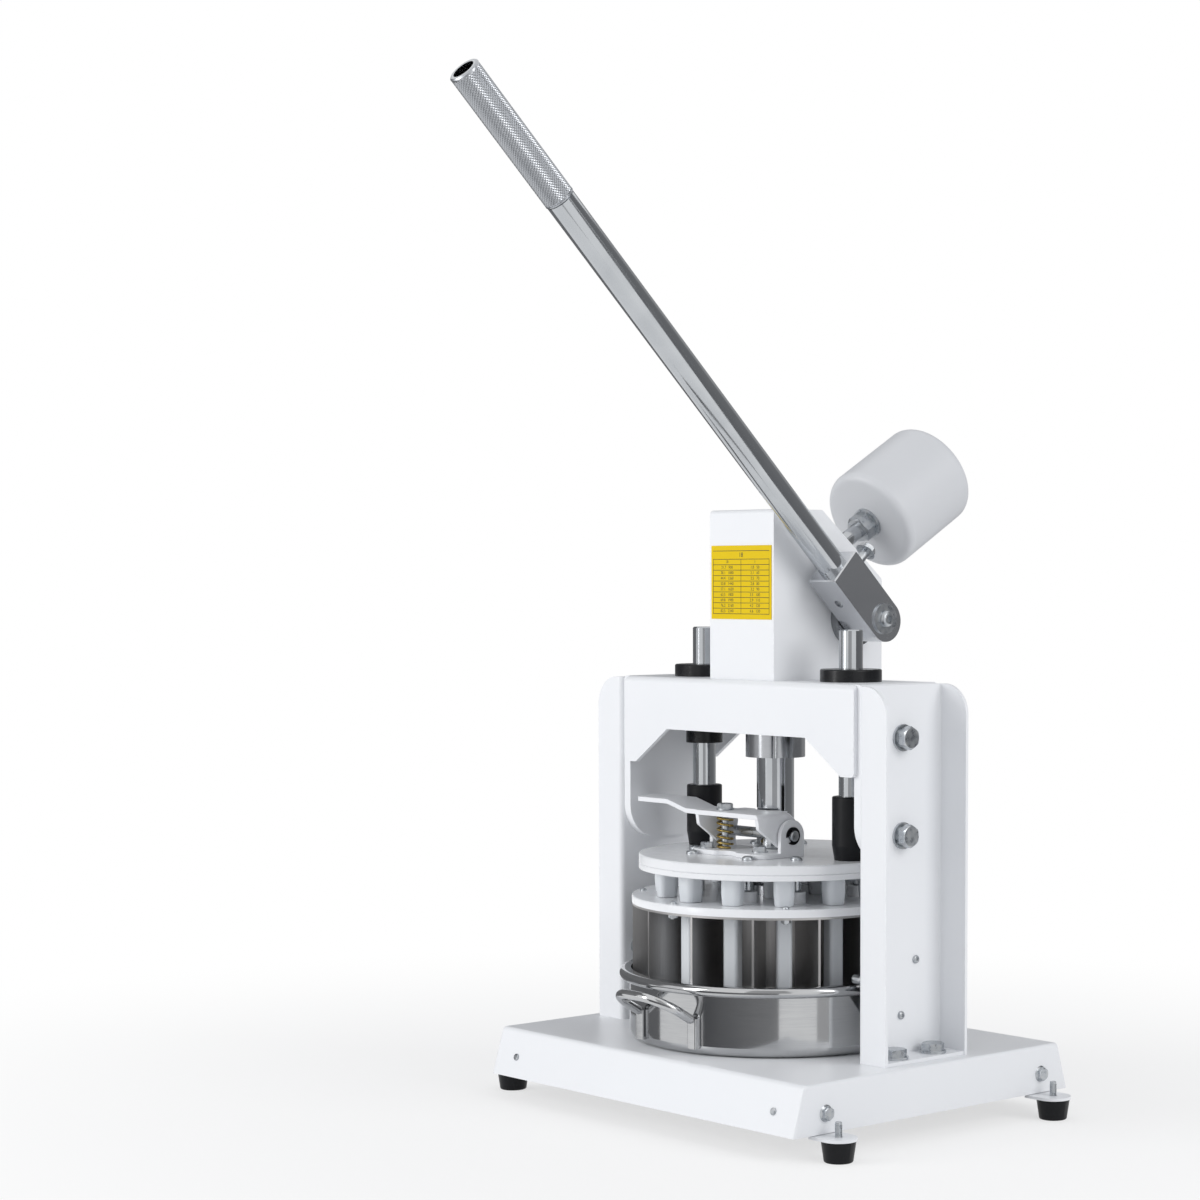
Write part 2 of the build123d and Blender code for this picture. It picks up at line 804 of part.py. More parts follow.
def pivot_bearings():
    """Pivot bearings: a flange on each tower wall with a boss through it."""
    wall = tower_half - tower_sheet
    ring = bar_x(bearing_diameter, tower_half, tower_half + bearing_length, pivot_y, pivot_z)
    boss = bar_x(bearing_boss_diameter, wall, tower_half + OVER, pivot_y, pivot_z)
    bore = bar_x(pivot_diameter + 2 * SLIDE, wall - OVER, tower_half + bearing_length + OVER, pivot_y, pivot_z)
    right = ring + boss - bore
    return group([right, mirrored_x(right)])


# Shaft guide, rods and bushes
def shaft_guide():
    """Steel sleeve below the crosshead that guides the ram shaft."""
    body = bar_z(guide_diameter, crosshead_under - guide_length, crosshead_under)
    flange = bar_z(guide_flange_diameter, crosshead_under - guide_flange_sheet, crosshead_under)
    guide = body + flange
    guide -= bar_z(shaft_diameter + 2 * SLIDE, crosshead_under - guide_length - OVER, crosshead_top)
    for x, y in guide_bolt_places():
        guide -= bar_z(small_bolt_diameter + 2 * SEAT, crosshead_under - guide_length - OVER, crosshead_top,
                       x, y)
    return guide


def guide_bolts():
    """Low-head bolts that hold the shaft guide from above."""
    grip = crosshead_sheet + guide_flange_sheet
    bolt = dome_screw(small_bolt_diameter, pad_screw_head_diameter, pad_screw_head, grip)
    return [Pos(x, y, crosshead_top) * bolt for x, y in guide_bolt_places()]


def guide_bush(x):
    """Flanged plastic bush of a guide rod."""
    flange = bar_z(bush_flange_diameter, crosshead_top, crosshead_top + bush_flange_sheet, x)
    flange = fillet(flange.edges().group_by(Axis.Z)[-1], bush_edge)
    body = bar_z(bush_diameter, crosshead_top - bush_length, crosshead_top, x)
    bore = bar_z(rod_diameter + 2 * SLIDE, crosshead_top - bush_length - OVER,
                 crosshead_top + bush_flange_sheet + OVER, x)
    return flange + body - bore


def guide_rod(x):
    """Chromed rod seated in the press plate."""
    rod = bar_z(rod_diameter, press_bottom, rod_top, x)
    rod = chamfer(rod.edges().group_by(Axis.Z)[-1], rod_point)
    return rod - bar_z(rod_screw_diameter + 2 * SEAT, press_bottom - OVER,
                       press_bottom + rod_screw_depth + OVER, x)


def rod_screws():
    """Screws from below that pull the guide rods onto the backing plate."""
    screw = Rot(180, 0, 0) * dome_screw(rod_screw_diameter, end_screw_head_diameter, end_screw_head,
                                        backing_sheet + rod_screw_depth)
    return [Pos(x, 0, backing_bottom) * screw for x in (-rod_spread, rod_spread)]


def rod_boot(x):
    """Rubber sleeve round the foot of a guide rod."""
    sleeve = bar_z(boot_diameter, press_top + boot_taper, press_top + boot_height, x)
    sleeve = fillet(sleeve.edges().group_by(Axis.Z)[-1], boot_edge)
    foot = Pos(x, 0, press_top + boot_taper / 2) * Cone(boot_foot_diameter / 2, boot_diameter / 2, boot_taper)
    return sleeve + foot - bar_z(rod_diameter + 2 * SEAT, press_top - OVER, press_top + boot_height + OVER, x)


# Ram
def ram_shaft():
    """Chromed shaft with a notch in front where the latch plate reaches it."""
    shaft = bar_z(shaft_diameter, knife_plate_top, shaft_top)
    shaft -= bar_z(shaft_bolt_diameter + 2 * SEAT, knife_plate_top - OVER,
                   knife_plate_top + shaft_bolt_depth + OVER)
    notch = block(-shaft_diameter, shaft_diameter, -shaft_diameter, notch_depth - shaft_diameter / 2,
                  latch_under - notch_below, latch_top + notch_above)
    spigot = bar_z(yoke_width / 2, shaft_top, shaft_top + yoke_wall)
    return shaft - notch + spigot


def crank_swing():
    """Places of the crank pin over the stroke, as distances in front of the pivot."""
    near = crank_length * math.cos(math.radians(crank_rest_angle))
    return near, crank_length


def drive_yoke():
    """Head of the shaft with a level slot that the crank pin pushes."""
    near, far = crank_swing()
    radius = crank_pin_diameter / 2
    slot_half = radius + yoke_play
    slot_front = pivot_y - far - radius - yoke_lead
    slot_rear = pivot_y - near + radius + yoke_lead
    head = block(-yoke_width / 2, yoke_width / 2, slot_front - yoke_wall, slot_rear + yoke_wall,
                 shaft_top, slot_z + slot_half + yoke_wall)
    head = fillet(head.edges().filter_by(Axis.X), yoke_round)
    head -= block(-yoke_width, yoke_width, slot_front, slot_rear, slot_z - slot_half, slot_z + slot_half)
    return head - bar_z(yoke_width / 2 + 2 * SEAT, shaft_top - OVER, shaft_top + yoke_wall + SEAT)


def knife_plate():
    """Round plate with a window for each pad and a boss below each stop pin."""
    plate = bar_z(2 * knife_plate_radius, blade_top, knife_plate_top)
    plate = fillet(plate.edges().group_by(Axis.Z)[-1], knife_plate_edge)
    boss = bar_z(stop_boss_diameter, knife_plate_top - OVER, knife_plate_top + stop_boss)
    boss = fillet(boss.edges().group_by(Axis.Z)[-1], stop_edge)
    for x, y in stop_places():
        plate += Pos(x, y, 0) * boss
    window = RectangleRounded(pad_radial + 2 * pad_play, pad_tangent + 2 * pad_play, pad_corner + pad_play)
    cutter = Pos(0, 0, blade_top - OVER) * extrude(window, knife_plate_sheet + 2 * OVER)
    for one in around(Pos(outer_pad_radius, 0, 0) * cutter, portion_count, pitch_angle / 2):
        plate -= one
    for one in around(Pos(inner_pad_radius, 0, 0) * cutter, core_count, core_turn):
        plate -= one
    plate -= bar_z(shaft_bolt_diameter + 2 * SEAT, blade_top - OVER, knife_plate_top + OVER)
    for x, y in knife_screw_places():
        plate -= bar_z(knife_screw_diameter + 2 * SEAT, blade_top - OVER, knife_plate_top + OVER, x, y)
    return plate


def knife_screw_places():
    """Every second portion has a screw near the rim."""
    radius = knife_radius - knife_screw_inset
    angles = [math.radians(pitch_angle * (2 * k + 0.5)) for k in range(portion_count // 2)]
    return [(radius * math.cos(angle), radius * math.sin(angle)) for angle in angles]


def knife_carrier():
    """Flat ring below the plate that the blades are welded to."""
    ring = tube_z(2 * knife_radius, 2 * (knife_radius - carrier_width), blade_top - carrier_sheet, blade_top)
    for x, y in knife_screw_places():
        ring -= bar_z(knife_screw_diameter + 2 * SEAT, blade_top - carrier_sheet - OVER, blade_top + OVER, x, y)
    return ring


def outer_blades():
    """Radial blades, notched below the carrier ring and rounded at the lower outer corner."""
    length = knife_radius - ring_radius
    face = Pos(ring_radius + length / 2, knife_tip + blade_height / 2) * Rectangle(length, blade_height)
    face = Plane.XZ * face
    corner = face.vertices().group_by(Axis.X)[-1].sort_by(Axis.Z)[0]
    blade = extrude(fillet(corner, blade_corner), blade_sheet / 2, both=True)
    blade -= block(knife_radius - carrier_width - SEAT, knife_radius + OVER, -blade_sheet, blade_sheet,
                   blade_top - carrier_sheet, blade_top + OVER)
    return group(around(blade, portion_count, 0))


def knife_ring():
    """Round knife between the core and the outer portions."""
    return tube_z(2 * ring_radius, 2 * (ring_radius - blade_sheet), knife_tip, blade_top)


def knife_cross():
    """Crossed core blades with room for the shaft bolt's head."""
    reach = ring_radius - blade_sheet
    cross = block(-reach, reach, -blade_sheet / 2, blade_sheet / 2, knife_tip, blade_top)
    cross += block(-blade_sheet / 2, blade_sheet / 2, -reach, reach, knife_tip, blade_top)
    room = shaft_bolt_flats * 2 / math.sqrt(3) + 2 * washer_margin + 2 * OVER
    cross -= bar_z(room, blade_top - shaft_bolt_head - washer_sheet - OVER, blade_top + OVER)
    return cross & bar_z(2 * reach, knife_tip, blade_top)


def knife_hub():
    """Collar round the lower end of the shaft."""
    hub = tube_z(knife_hub_diameter, shaft_diameter + 2 * SEAT, knife_plate_top,
                 knife_plate_top + knife_hub_height)
    return chamfer(hub.edges().group_by(Axis.Z)[-1].sort_by(SortBy.LENGTH)[-1], knife_hub_edge)


def shaft_bolt():
    """Bolt from below the knife plate into the shaft."""
    bolt = hex_bolt(shaft_bolt_diameter, shaft_bolt_flats, shaft_bolt_head, washer_sheet,
                    0, knife_plate_sheet + shaft_bolt_depth)
    return Pos(0, 0, blade_top) * Rot(180, 0, 0) * bolt


def knife_screws():
    """Screws and nuts that hold the carrier ring."""
    grip = knife_plate_sheet + carrier_sheet
    screw = dome_screw(knife_screw_diameter, knife_screw_head_diameter, knife_screw_head,
                       grip + knife_nut + bolt_end)
    nut = Rot(180, 0, 0) * hex_nut(knife_screw_diameter, knife_nut_flats, knife_nut)
    screws = [Pos(x, y, knife_plate_top) * screw for x, y in knife_screw_places()]
    nuts = [Pos(x, y, blade_top - carrier_sheet) * nut for x, y in knife_screw_places()]
    return group(screws + nuts)


# Press head
def wedge(half_angle, gap):
    """A wedge along +X whose sides stand a gap inside the cell's walls."""
    apex = gap / math.sin(math.radians(half_angle))
    reach = 2 * knife_radius
    rise = reach * math.tan(math.radians(half_angle))
    return Polygon((apex, 0), (apex + reach, -rise), (apex + reach, rise), align=None)


def pad(place, foot):
    """A presser: square post on the knife plate, shank through it, flat foot in its cell."""
    foot_top = knife_tip + pad_foot_sheet
    post_low = knife_plate_top + FLOAT
    post_full = post_low + pad_post_taper
    shank = RectangleRounded(pad_radial, pad_tangent, pad_corner)
    flare = RectangleRounded(pad_radial + 2 * pad_flare, pad_tangent + 2 * pad_flare, pad_corner + pad_flare)
    body = Pos(place, 0, foot_top) * extrude(shank, post_full - foot_top)
    neck = loft([Pos(0, 0, foot_top) * flare, Pos(0, 0, foot_top + pad_flare_height) * shank])
    body += Pos(place, 0, 0) * neck
    post = RectangleRounded(pad_post, pad_post, pad_post_corner)
    slim = RectangleRounded(pad_post_foot, pad_post_foot, pad_post_corner * pad_post_foot / pad_post)
    body += Pos(place, 0, 0) * loft([Pos(0, 0, post_low) * slim, Pos(0, 0, post_full) * post])
    body += Pos(place, 0, post_full) * extrude(post, backing_bottom - post_full)
    body += Pos(0, 0, knife_tip) * foot
    return body - bar_z(pad_screw_diameter + 2 * SEAT, backing_bottom - pad_screw_depth - OVER,
                        backing_bottom + OVER, place)


def outer_pad():
    """Presser of an outer portion."""
    foot = Circle(knife_radius - pad_foot_gap) - Circle(ring_radius + pad_foot_gap)
    foot = extrude(foot & wedge(pitch_angle / 2, blade_sheet / 2 + pad_foot_gap), pad_foot_sheet)
    rims = foot.edges().group_by(Axis.Z)[0].filter_by(GeomType.CIRCLE)
    return pad(outer_pad_radius, fillet(rims.sort_by(SortBy.RADIUS)[-1], blade_corner))


def inner_pad():
    """Presser of a core portion."""
    foot = Circle(ring_radius - blade_sheet - pad_foot_gap)
    foot = extrude(foot & wedge(180.0 / core_count, blade_sheet / 2 + pad_foot_gap), pad_foot_sheet)
    return pad(inner_pad_radius, foot)


def turned(angle, radius):
    """A place at an angle about the shaft axis."""
    return radius * math.cos(math.radians(angle)), radius * math.sin(math.radians(angle))


def outer_pad_places():
    """Centres of the outer pads."""
    return [turned(pitch_angle * (k + 0.5), outer_pad_radius) for k in range(portion_count)]


def inner_pad_places():
    """Centres of the core pads."""
    return [turned(core_turn + 360.0 * k / core_count, inner_pad_radius) for k in range(core_count)]


def stop_places():
    """Stop pins in pairs on the diagonals."""
    middles = [stop_turn + 360.0 * k / stop_count for k in range(stop_count)]
    angles = [middle + side * stop_spread for middle in middles for side in (-1, 1)]
    return [turned(angle, stop_radius) for angle in angles]


def press_disc(low, high):
    """A disc of the press head with the holes that both discs share."""
    disc = bar_z(2 * press_radius, low, high)
    disc -= bar_z(press_bush_diameter + 2 * SEAT, low - OVER, high + OVER)
    for x, y in stop_places():
        disc -= bar_z(pad_screw_diameter + 2 * SEAT, low - OVER, high + OVER, x, y)
    return disc


def press_plate():
    """Upper disc, hollowed below for the pad screws' heads and bored for rods and bracket bolts."""
    plate = press_disc(press_bottom, press_top)
    plate = fillet(plate.edges().group_by(Axis.Z)[-1].sort_by(SortBy.LENGTH)[-1], press_edge)
    plate = fillet(plate.edges().group_by(Axis.Z)[0].sort_by(SortBy.LENGTH)[-1], press_seam)
    sunk = press_bottom + pad_screw_head + sink_margin
    for x, y in outer_pad_places() + inner_pad_places():
        plate -= bar_z(pad_screw_head_diameter + sink_margin, press_bottom - OVER, sunk, x, y)
    for x in (-rod_spread, rod_spread):
        plate -= bar_z(rod_diameter + 2 * SEAT, press_bottom - OVER, press_top + OVER, x)
    for x, y in bracket_bolt_places() + [(spring_x, spring_y)]:
        plate -= bar_z(small_bolt_diameter + 2 * SEAT, press_bottom - OVER, press_top + OVER, x, y)
    return plate


def backing_plate():
    """Lower disc that the pads hang from."""
    plate = press_disc(backing_bottom, press_bottom)
    rims = [plate.edges().group_by(Axis.Z)[end].sort_by(SortBy.LENGTH)[-1] for end in (0, -1)]
    plate = fillet(rims, press_seam)
    for x, y in outer_pad_places() + inner_pad_places():
        plate -= bar_z(pad_screw_diameter + 2 * SEAT, backing_bottom - OVER, press_bottom + OVER, x, y)
    for x in (-rod_spread, rod_spread):
        plate -= bar_z(rod_screw_diameter + 2 * SEAT, backing_bottom - OVER, press_bottom + OVER, x)
    return plate


def press_bush():
    """Bronze bush in which the press head slides on the shaft."""
    return tube_z(press_bush_diameter, shaft_diameter + 2 * SLIDE, backing_bottom, press_top)


def pad_screws():
    """Screws that hold the pads to the backing plate, covered by the upper disc."""
    screw = dome_screw(pad_screw_diameter, pad_screw_head_diameter, pad_screw_head,
                       backing_sheet + pad_screw_depth)
    return [Pos(x, y, press_bottom) * screw for x, y in outer_pad_places() + inner_pad_places()]


def stop_pins():
    """Domed screws through both discs, each with a pin below that meets a boss on the knife plate."""
    screw = dome_screw(pad_screw_diameter, pad_screw_head_diameter, pad_screw_head,
                       press_sheet + backing_sheet + stop_screw_depth)
    pin = bar_z(stop_diameter, knife_plate_top + stop_boss + FLOAT, backing_bottom)
    pin = chamfer(pin.edges().group_by(Axis.Z)[0], stop_edge)
    pin -= bar_z(pad_screw_diameter + 2 * SEAT, backing_bottom - stop_screw_depth - OVER, backing_bottom + OVER)
    screws = [Pos(x, y, press_top) * screw for x, y in stop_places()]
    return screws + [Pos(x, y, 0) * pin for x, y in stop_places()]


# Latch
def bracket_bolt_places():
    """Bolts of the latch bracket, clear of the spring."""
    return [bracket_bolt_right, bracket_bolt_left]


def latch_bracket():
    """Plate on the press head with a scalloped front edge and two upturned ears."""
    rear = latch_pin_y + ear_half_depth
    depth = bracket_front + rear
    plate = Pos(0, rear - depth / 2) * Rectangle(2 * bracket_half_width, depth)
    plate = fillet(plate.vertices().group_by(Axis.Y)[0], bracket_corner)
    plate -= Pos(0, -bracket_front - scallop_radius + scallop_depth) * Circle(scallop_radius)
    tips = plate.vertices().group_by(Axis.Y)[0].filter_by(lambda vertex: abs(vertex.X) < scallop_radius)
    plate = fillet(tips, scallop_round)
    plate -= Circle(shaft_diameter / 2 + bracket_shaft_gap)
    bracket = Pos(0, 0, press_top) * extrude(plate, latch_sheet)
    ear = Plane.YZ * (Pos(latch_pin_y, latch_pin_z) * Circle(ear_half_depth))
    ear += Plane.YZ * (Pos(latch_pin_y, (press_top + latch_pin_z) / 2)
                       * Rectangle(2 * ear_half_depth, latch_pin_height))
    outer = bracket_half_width
    for x in (outer - latch_sheet, -outer):
        bracket += Pos(x, 0, 0) * extrude(ear, latch_sheet)
    bracket -= bar_x(latch_pin_diameter + 2 * SEAT, -outer - OVER, outer + OVER, latch_pin_y, latch_pin_z)
    for x, y in bracket_bolt_places() + [(spring_x, spring_y)]:
        bracket -= bar_z(small_bolt_diameter + 2 * SEAT, press_top - OVER, bracket_top + OVER, x, y)
    return bracket


def latch_pin():
    """Cross pin in front of the shaft, grooved for its clips."""
    end = bracket_half_width + clip_sheet + latch_pin_stand
    pin = bar_x(latch_pin_diameter, -end, end, latch_pin_y, latch_pin_z)
    pin = chamfer(pin.edges().filter_by(GeomType.CIRCLE), latch_pin_point)
    for side in (-1, 1):
        place = side * (bracket_half_width + clip_sheet / 2)
        ring = bar_x(latch_pin_diameter + 2 * OVER, place - clip_sheet / 2, place + clip_sheet / 2,
                     latch_pin_y, latch_pin_z)
        ring -= bar_x(latch_pin_diameter - 2 * clip_groove, place - clip_sheet, place + clip_sheet,
                      latch_pin_y, latch_pin_z)
        pin -= ring
    return pin


def latch_clips():
    """Retaining clips with an open mouth."""
    clip = Circle(latch_pin_diameter / 2 + clip_margin) - Circle(latch_pin_diameter / 2 - clip_groove + SEAT)
    clip -= Pos(0, -latch_pin_diameter) * Rectangle(latch_pin_diameter * clip_mouth, 2 * latch_pin_diameter)
    clip = extrude(clip, clip_sheet)
    right = Pos(bracket_half_width, latch_pin_y, latch_pin_z) * Rot(0, 90, 0) * Rot(0, 0, clip_turn) * clip
    return group([right, mirrored_x(right)])


latch_half = bracket_half_width - latch_sheet - latch_side_gap


def latch_lever():
    """Folded latch: fork round the shaft, two flanges on the pin, stepped handle to the left."""
    top = block(-latch_half, latch_half, -latch_front, -latch_handle_rear, latch_under, latch_top)
    fork = latch_fork_half
    top += block(-fork, fork, -latch_handle_rear - OVER, -latch_rear, latch_under, latch_top)
    top -= bar_z(shaft_diameter + 2 * latch_shaft_gap, latch_under - OVER, latch_top + OVER)
    low = latch_under - latch_flange_drop
    waist = latch_pin_z + latch_flange_waist
    side = Polygon((-latch_front, latch_top), (-latch_front + latch_flange_lean, waist),
                   (latch_pin_y - latch_flange_front, low), (latch_pin_y + latch_flange_rear, low),
                   (-latch_rear, waist), (-latch_rear, latch_top - latch_flange_crop),
                   (-latch_handle_rear, latch_top), align=None)
    side = Plane.YZ * side
    corners = side.vertices().filter_by(lambda vertex: vertex.Z < latch_under)
    side = extrude(fillet(corners, latch_round), latch_sheet)
    latch = top
    for x in (latch_half - latch_sheet, -latch_half):
        latch += Pos(x, 0, 0) * side
    latch = fillet(latch.edges().filter_by(Axis.Y).group_by(Axis.X)[-1].group_by(Axis.Z)[-1], latch_bend)
    latch += latch_handle()
    latch -= bar_x(latch_pin_diameter + 2 * SLIDE, -bracket_half_width, bracket_half_width,
                   latch_pin_y, latch_pin_z)
    return latch - bar_z(spring_bolt_hole, latch_under - OVER, latch_top + OVER, spring_x, spring_y)


def latch_handle():
    """Handle strip that steps up and runs to the left."""
    x0 = -latch_half
    x1 = x0 - latch_handle_start
    x2 = x1 - latch_handle_ramp
    x3 = x2 - latch_handle_end
    step = latch_handle_step
    outline = Polygon((x0 + OVER, latch_under), (x0 + OVER, latch_top), (x1, latch_top), (x2, latch_top + step),
                      (x3, latch_top + step), (x3, latch_under + step), (x2, latch_under + step),
                      (x1, latch_under), align=None)
    front = -latch_handle_front
    rear = -latch_handle_rear
    strip = Pos(0, rear, 0) * extrude(Plane.XZ * outline, rear - front)
    shape = Polygon((x0 + OVER, front), (x0 + OVER, rear), (x3, rear),
                    (x3 + latch_handle_cut, front), align=None)
    shape = fillet(shape.vertices().sort_by(Axis.X)[:2], latch_handle_round)
    return strip & (Pos(0, 0, latch_under - OVER) * extrude(shape, step + latch_sheet + 2 * OVER))


def helix_arcs(radius, rise, turns):
    """Arcs of a helix about Z: each quarter turn is two arcs that meet in line."""
    slope = rise / turns / (2 * math.pi)

    def at(angle):
        return Vector(radius * math.cos(angle), radius * math.sin(angle), slope * angle)

    def along(angle):
        return Vector(-radius * math.sin(angle), radius * math.cos(angle), slope).normalized()

    def arc(start, end, tangent):
        chord = end - start
        unit = chord.normalized()
        side = (tangent - unit * tangent.dot(unit)).normalized()
        half = math.acos(min(1.0, tangent.dot(unit))) / 2
        middle = (start + end) * 0.5 + side * (chord.length / 2 * math.tan(half))
        return ThreePointArc(start, middle, end), middle

    arcs = []
    points = [at(0)]
    quarter = math.pi / 2
    for k in range(4 * turns):
        start, end = at(k * quarter), at((k + 1) * quarter)
        first, last = along(k * quarter), along((k + 1) * quarter)
        span = end - start
        both = first + last
        spread = 2 * (1 - first.dot(last))
        reach = (-span.dot(both) + math.sqrt(span.dot(both) ** 2 + spread * span.dot(span))) / spread
        joint = (start + first * reach + end - last * reach) * 0.5
        meeting = (end - last * reach - start - first * reach).normalized()
        one, middle_one = arc(start, joint, first)
        two, middle_two = arc(joint, end, meeting)
        arcs += [one, two]
        points += [middle_one, joint, middle_two, end]
    return arcs, points


def latch_spring():
    """Compression spring that lifts the latch, as one unbroken wire."""
    length = latch_under - bracket_top
    rise = length - spring_wire - 2 * SEAT
    radius = (spring_diameter - spring_wire) / 2
    arcs, points = helix_arcs(radius, rise, spring_turns)
    step = len(points) // spring_turns
    gap = min((points[k + step] - points[k]).length for k in range(len(points) - step)) - spring_wire
    print(f"spring: least gap between turns {gap:.2f} mm")
    wire = Wire(arcs)
    start = Plane(origin=wire @ 0, z_dir=wire % 0)
    spring = sweep(start * Circle(spring_wire / 2), wire)
    return Pos(spring_x, spring_y, bracket_top + spring_wire / 2 + SEAT) * spring


def spring_bolt():
    """Bolt through the spring whose washer stops the latch."""
    head_seat = latch_top + FLOAT
    shank = bar_z(small_bolt_diameter, press_bottom, head_seat + spring_washer_sheet)
    washer = bar_z(spring_washer_diameter, head_seat, head_seat + spring_washer_sheet)
    head = Pos(0, 0, head_seat + spring_washer_sheet) * hex_head(spring_bolt_flats, 0, small_bolt_head)
    return Pos(spring_x, spring_y, 0) * (shank + washer + head)


def bracket_bolts():
    """Hex bolts that hold the bracket to the press plate."""
    bolt = hex_bolt(small_bolt_diameter, small_bolt_flats, small_bolt_head, washer_sheet / 2,
                    0, latch_sheet + press_sheet)
    return group([Pos(x, y, bracket_top) * bolt for x, y in bracket_bolt_places()])


# Lever
lever_cos = math.cos(math.radians(lever_angle))
lever_sin = math.sin(math.radians(lever_angle))
lever_plane = Plane(origin=(0, pivot_y, pivot_z), x_dir=(1, 0, 0), z_dir=(0, -lever_cos, lever_sin))


def lever_block():
    """Square steel block on the pivot, rounded at its lower end, bored for the handle."""
    half = block_depth / 2
    body = block(block_inner, block_outer, -half, half, -block_tail, block_length)
    body += bar_x(block_depth, block_inner, block_outer, 0, -block_tail)
    body = chamfer(body.edges().group_by(Axis.Z)[-1], block_edge)
    body -= bar_x(pivot_diameter + 2 * SEAT, block_inner - OVER, block_outer + OVER, 0, 0)
    body -= bar_z(handle_diameter + 2 * SEAT, handle_seat, block_length + OVER, block_middle)
    body -= bar_y(set_screw_diameter + 2 * SEAT, -half - OVER, 0, block_middle, set_screw_place)
    body -= bar_y(set_screw_diameter + 2 * SEAT, 0, half + OVER, block_middle, clamp_bolt_place)
    return lever_plane * body


def handle_tube():
    """Chromed tube from the block to the grip, with a spigot through the grip."""
    shoulder = handle_reach - grip_length
    tube = tube_z(handle_diameter, handle_bore, handle_seat, shoulder, block_middle)
    tube += tube_z(handle_spigot_diameter, handle_bore, shoulder - OVER, handle_reach, block_middle)
    return lever_plane * tube


def handle_grip():
    """Knurled sleeve on the spigot of the tube."""
    low = handle_reach - grip_length
    grip = bar_z(grip_diameter, low, handle_reach, block_middle)
    grip = chamfer(grip.edges(), grip_edge)
    bore = bar_z(handle_spigot_diameter + 2 * SEAT, low - OVER, handle_reach + OVER, block_middle)
    return lever_plane * (grip - bore)


def set_screw():
    """Socket set screw against the handle tube."""
    half = block_depth / 2
    screw = bar_y(set_screw_diameter, -half + set_screw_recess, -handle_diameter / 2 - SEAT,
                  block_middle, set_screw_place)
    socket = hexagon(set_screw_diameter / 2, -set_screw_socket, set_screw_socket)
    socket = Pos(block_middle, -half, set_screw_place) * Rot(90, 0, 0) * socket
    return lever_plane * (screw - socket)


def clamp_bolt():
    """Flange bolt that stands on the block's upper face and clamps the tube."""
    grip = clamp_bolt_stand + block_depth / 2 - handle_diameter / 2 - SEAT
    bolt = flange_bolt(set_screw_diameter, clamp_bolt_flats, clamp_bolt_head, grip)
    seat = Pos(block_middle, block_depth / 2 + clamp_bolt_stand, clamp_bolt_place) * Rot(-90, 0, 0)
    return lever_plane * seat * bolt


def pivot_shaft():
    """Cross shaft with a keyway for the crank and a threaded end."""
    left = -tower_half - bearing_length - collar_length - block_gap
    shaft = bar_x(pivot_diameter, left, block_outer - block_gap, pivot_y, pivot_z)
    hole = bar_x(end_screw_diameter + 2 * SEAT, block_outer - end_screw_depth, block_outer, pivot_y, pivot_z)
    return shaft - hole - key_room(SEAT)


def key_room(gap):
    """The key's box, grown by a gap."""
    half = key_length / 2 + gap
    middle = pivot_z + pivot_diameter / 2
    return block(-half, half, pivot_y - key_width / 2 - gap, pivot_y + key_width / 2 + gap,
                 middle - key_height / 2 - gap, middle + key_height / 2 + gap)


def end_washer():
    """Washer that holds the block on the shaft."""
    ring = bar_x(end_washer_diameter, block_outer, block_outer + end_washer_sheet, pivot_y, pivot_z)
    bore = bar_x(end_screw_diameter + 2 * SEAT, block_outer - OVER, block_outer + end_washer_sheet + OVER,
                 pivot_y, pivot_z)
    return ring - bore


def end_screw():
    """Button screw in the end of the pivot shaft."""
    screw = dome_screw(end_screw_diameter, end_screw_head_diameter, end_screw_head, end_screw_depth - block_gap)
    return Pos(block_outer + end_washer_sheet, pivot_y, pivot_z) * Rot(0, 90, 0) * screw


def pivot_collar():
    """Collar on the left end of the pivot shaft."""
    x1 = -tower_half - bearing_length - block_gap
    ring = bar_x(collar_diameter, x1 - collar_length, x1, pivot_y, pivot_z)
    return ring - bar_x(pivot_diameter + 2 * SEAT, x1 - collar_length - OVER, x1 + OVER, pivot_y, pivot_z)


crank_pin_y = pivot_y - crank_length * math.cos(math.radians(crank_rest_angle))
weight_cos = math.cos(math.radians(weight_angle))
weight_sin = math.sin(math.radians(weight_angle))
weight_y = pivot_y - weight_offset * weight_sin
weight_z = pivot_z + weight_offset * weight_cos
weight_plane = Plane(origin=(0, weight_y, weight_z), x_dir=(1, 0, 0), z_dir=(0, weight_cos, weight_sin))


def crank():
    """Forked bell crank: two cheeks on a hub, and a block for the counterweight rod."""
    rim = weight_block_depth / 2
    eyes = [(pivot_y, pivot_z, crank_hub_diameter / 2), (crank_pin_y, slot_z, crank_eye_diameter / 2),
            (weight_y, weight_z, rim), (weight_y + weight_block_front * weight_cos - rim * weight_cos,
                                        weight_z + weight_block_front * weight_sin - rim * weight_sin, rim)]
    circles = [edge for y, z, radius in eyes for edge in (Pos(y, z) * Circle(radius)).edges()]
    cheek = extrude(Plane.YZ * make_hull(circles), crank_sheet)
    outer = crank_gap + crank_sheet
    piece = Pos(crank_gap, 0, 0) * cheek + Pos(-outer, 0, 0) * cheek
    piece += bar_x(crank_hub_diameter, -outer, outer, pivot_y, pivot_z)
    piece += weight_plane * block(-crank_gap, crank_gap, -rim, rim, -weight_block_back, weight_block_front)
    piece -= bar_x(pivot_diameter + 2 * SEAT, -outer - OVER, outer + OVER, pivot_y, pivot_z)
    piece -= bar_x(crank_pin_diameter + 2 * SEAT, -outer - OVER, outer + OVER, crank_pin_y, slot_z)
    piece -= weight_plane * bar_z(weight_rod_diameter + 2 * SEAT, -weight_block_back - OVER,
                                  weight_block_front + OVER)
    return piece - key_room(SEAT)


def crank_pin():
    """Hardened pin across the crank's fork."""
    outer = crank_gap + crank_sheet
    return bar_x(crank_pin_diameter, -outer, outer, crank_pin_y, slot_z)


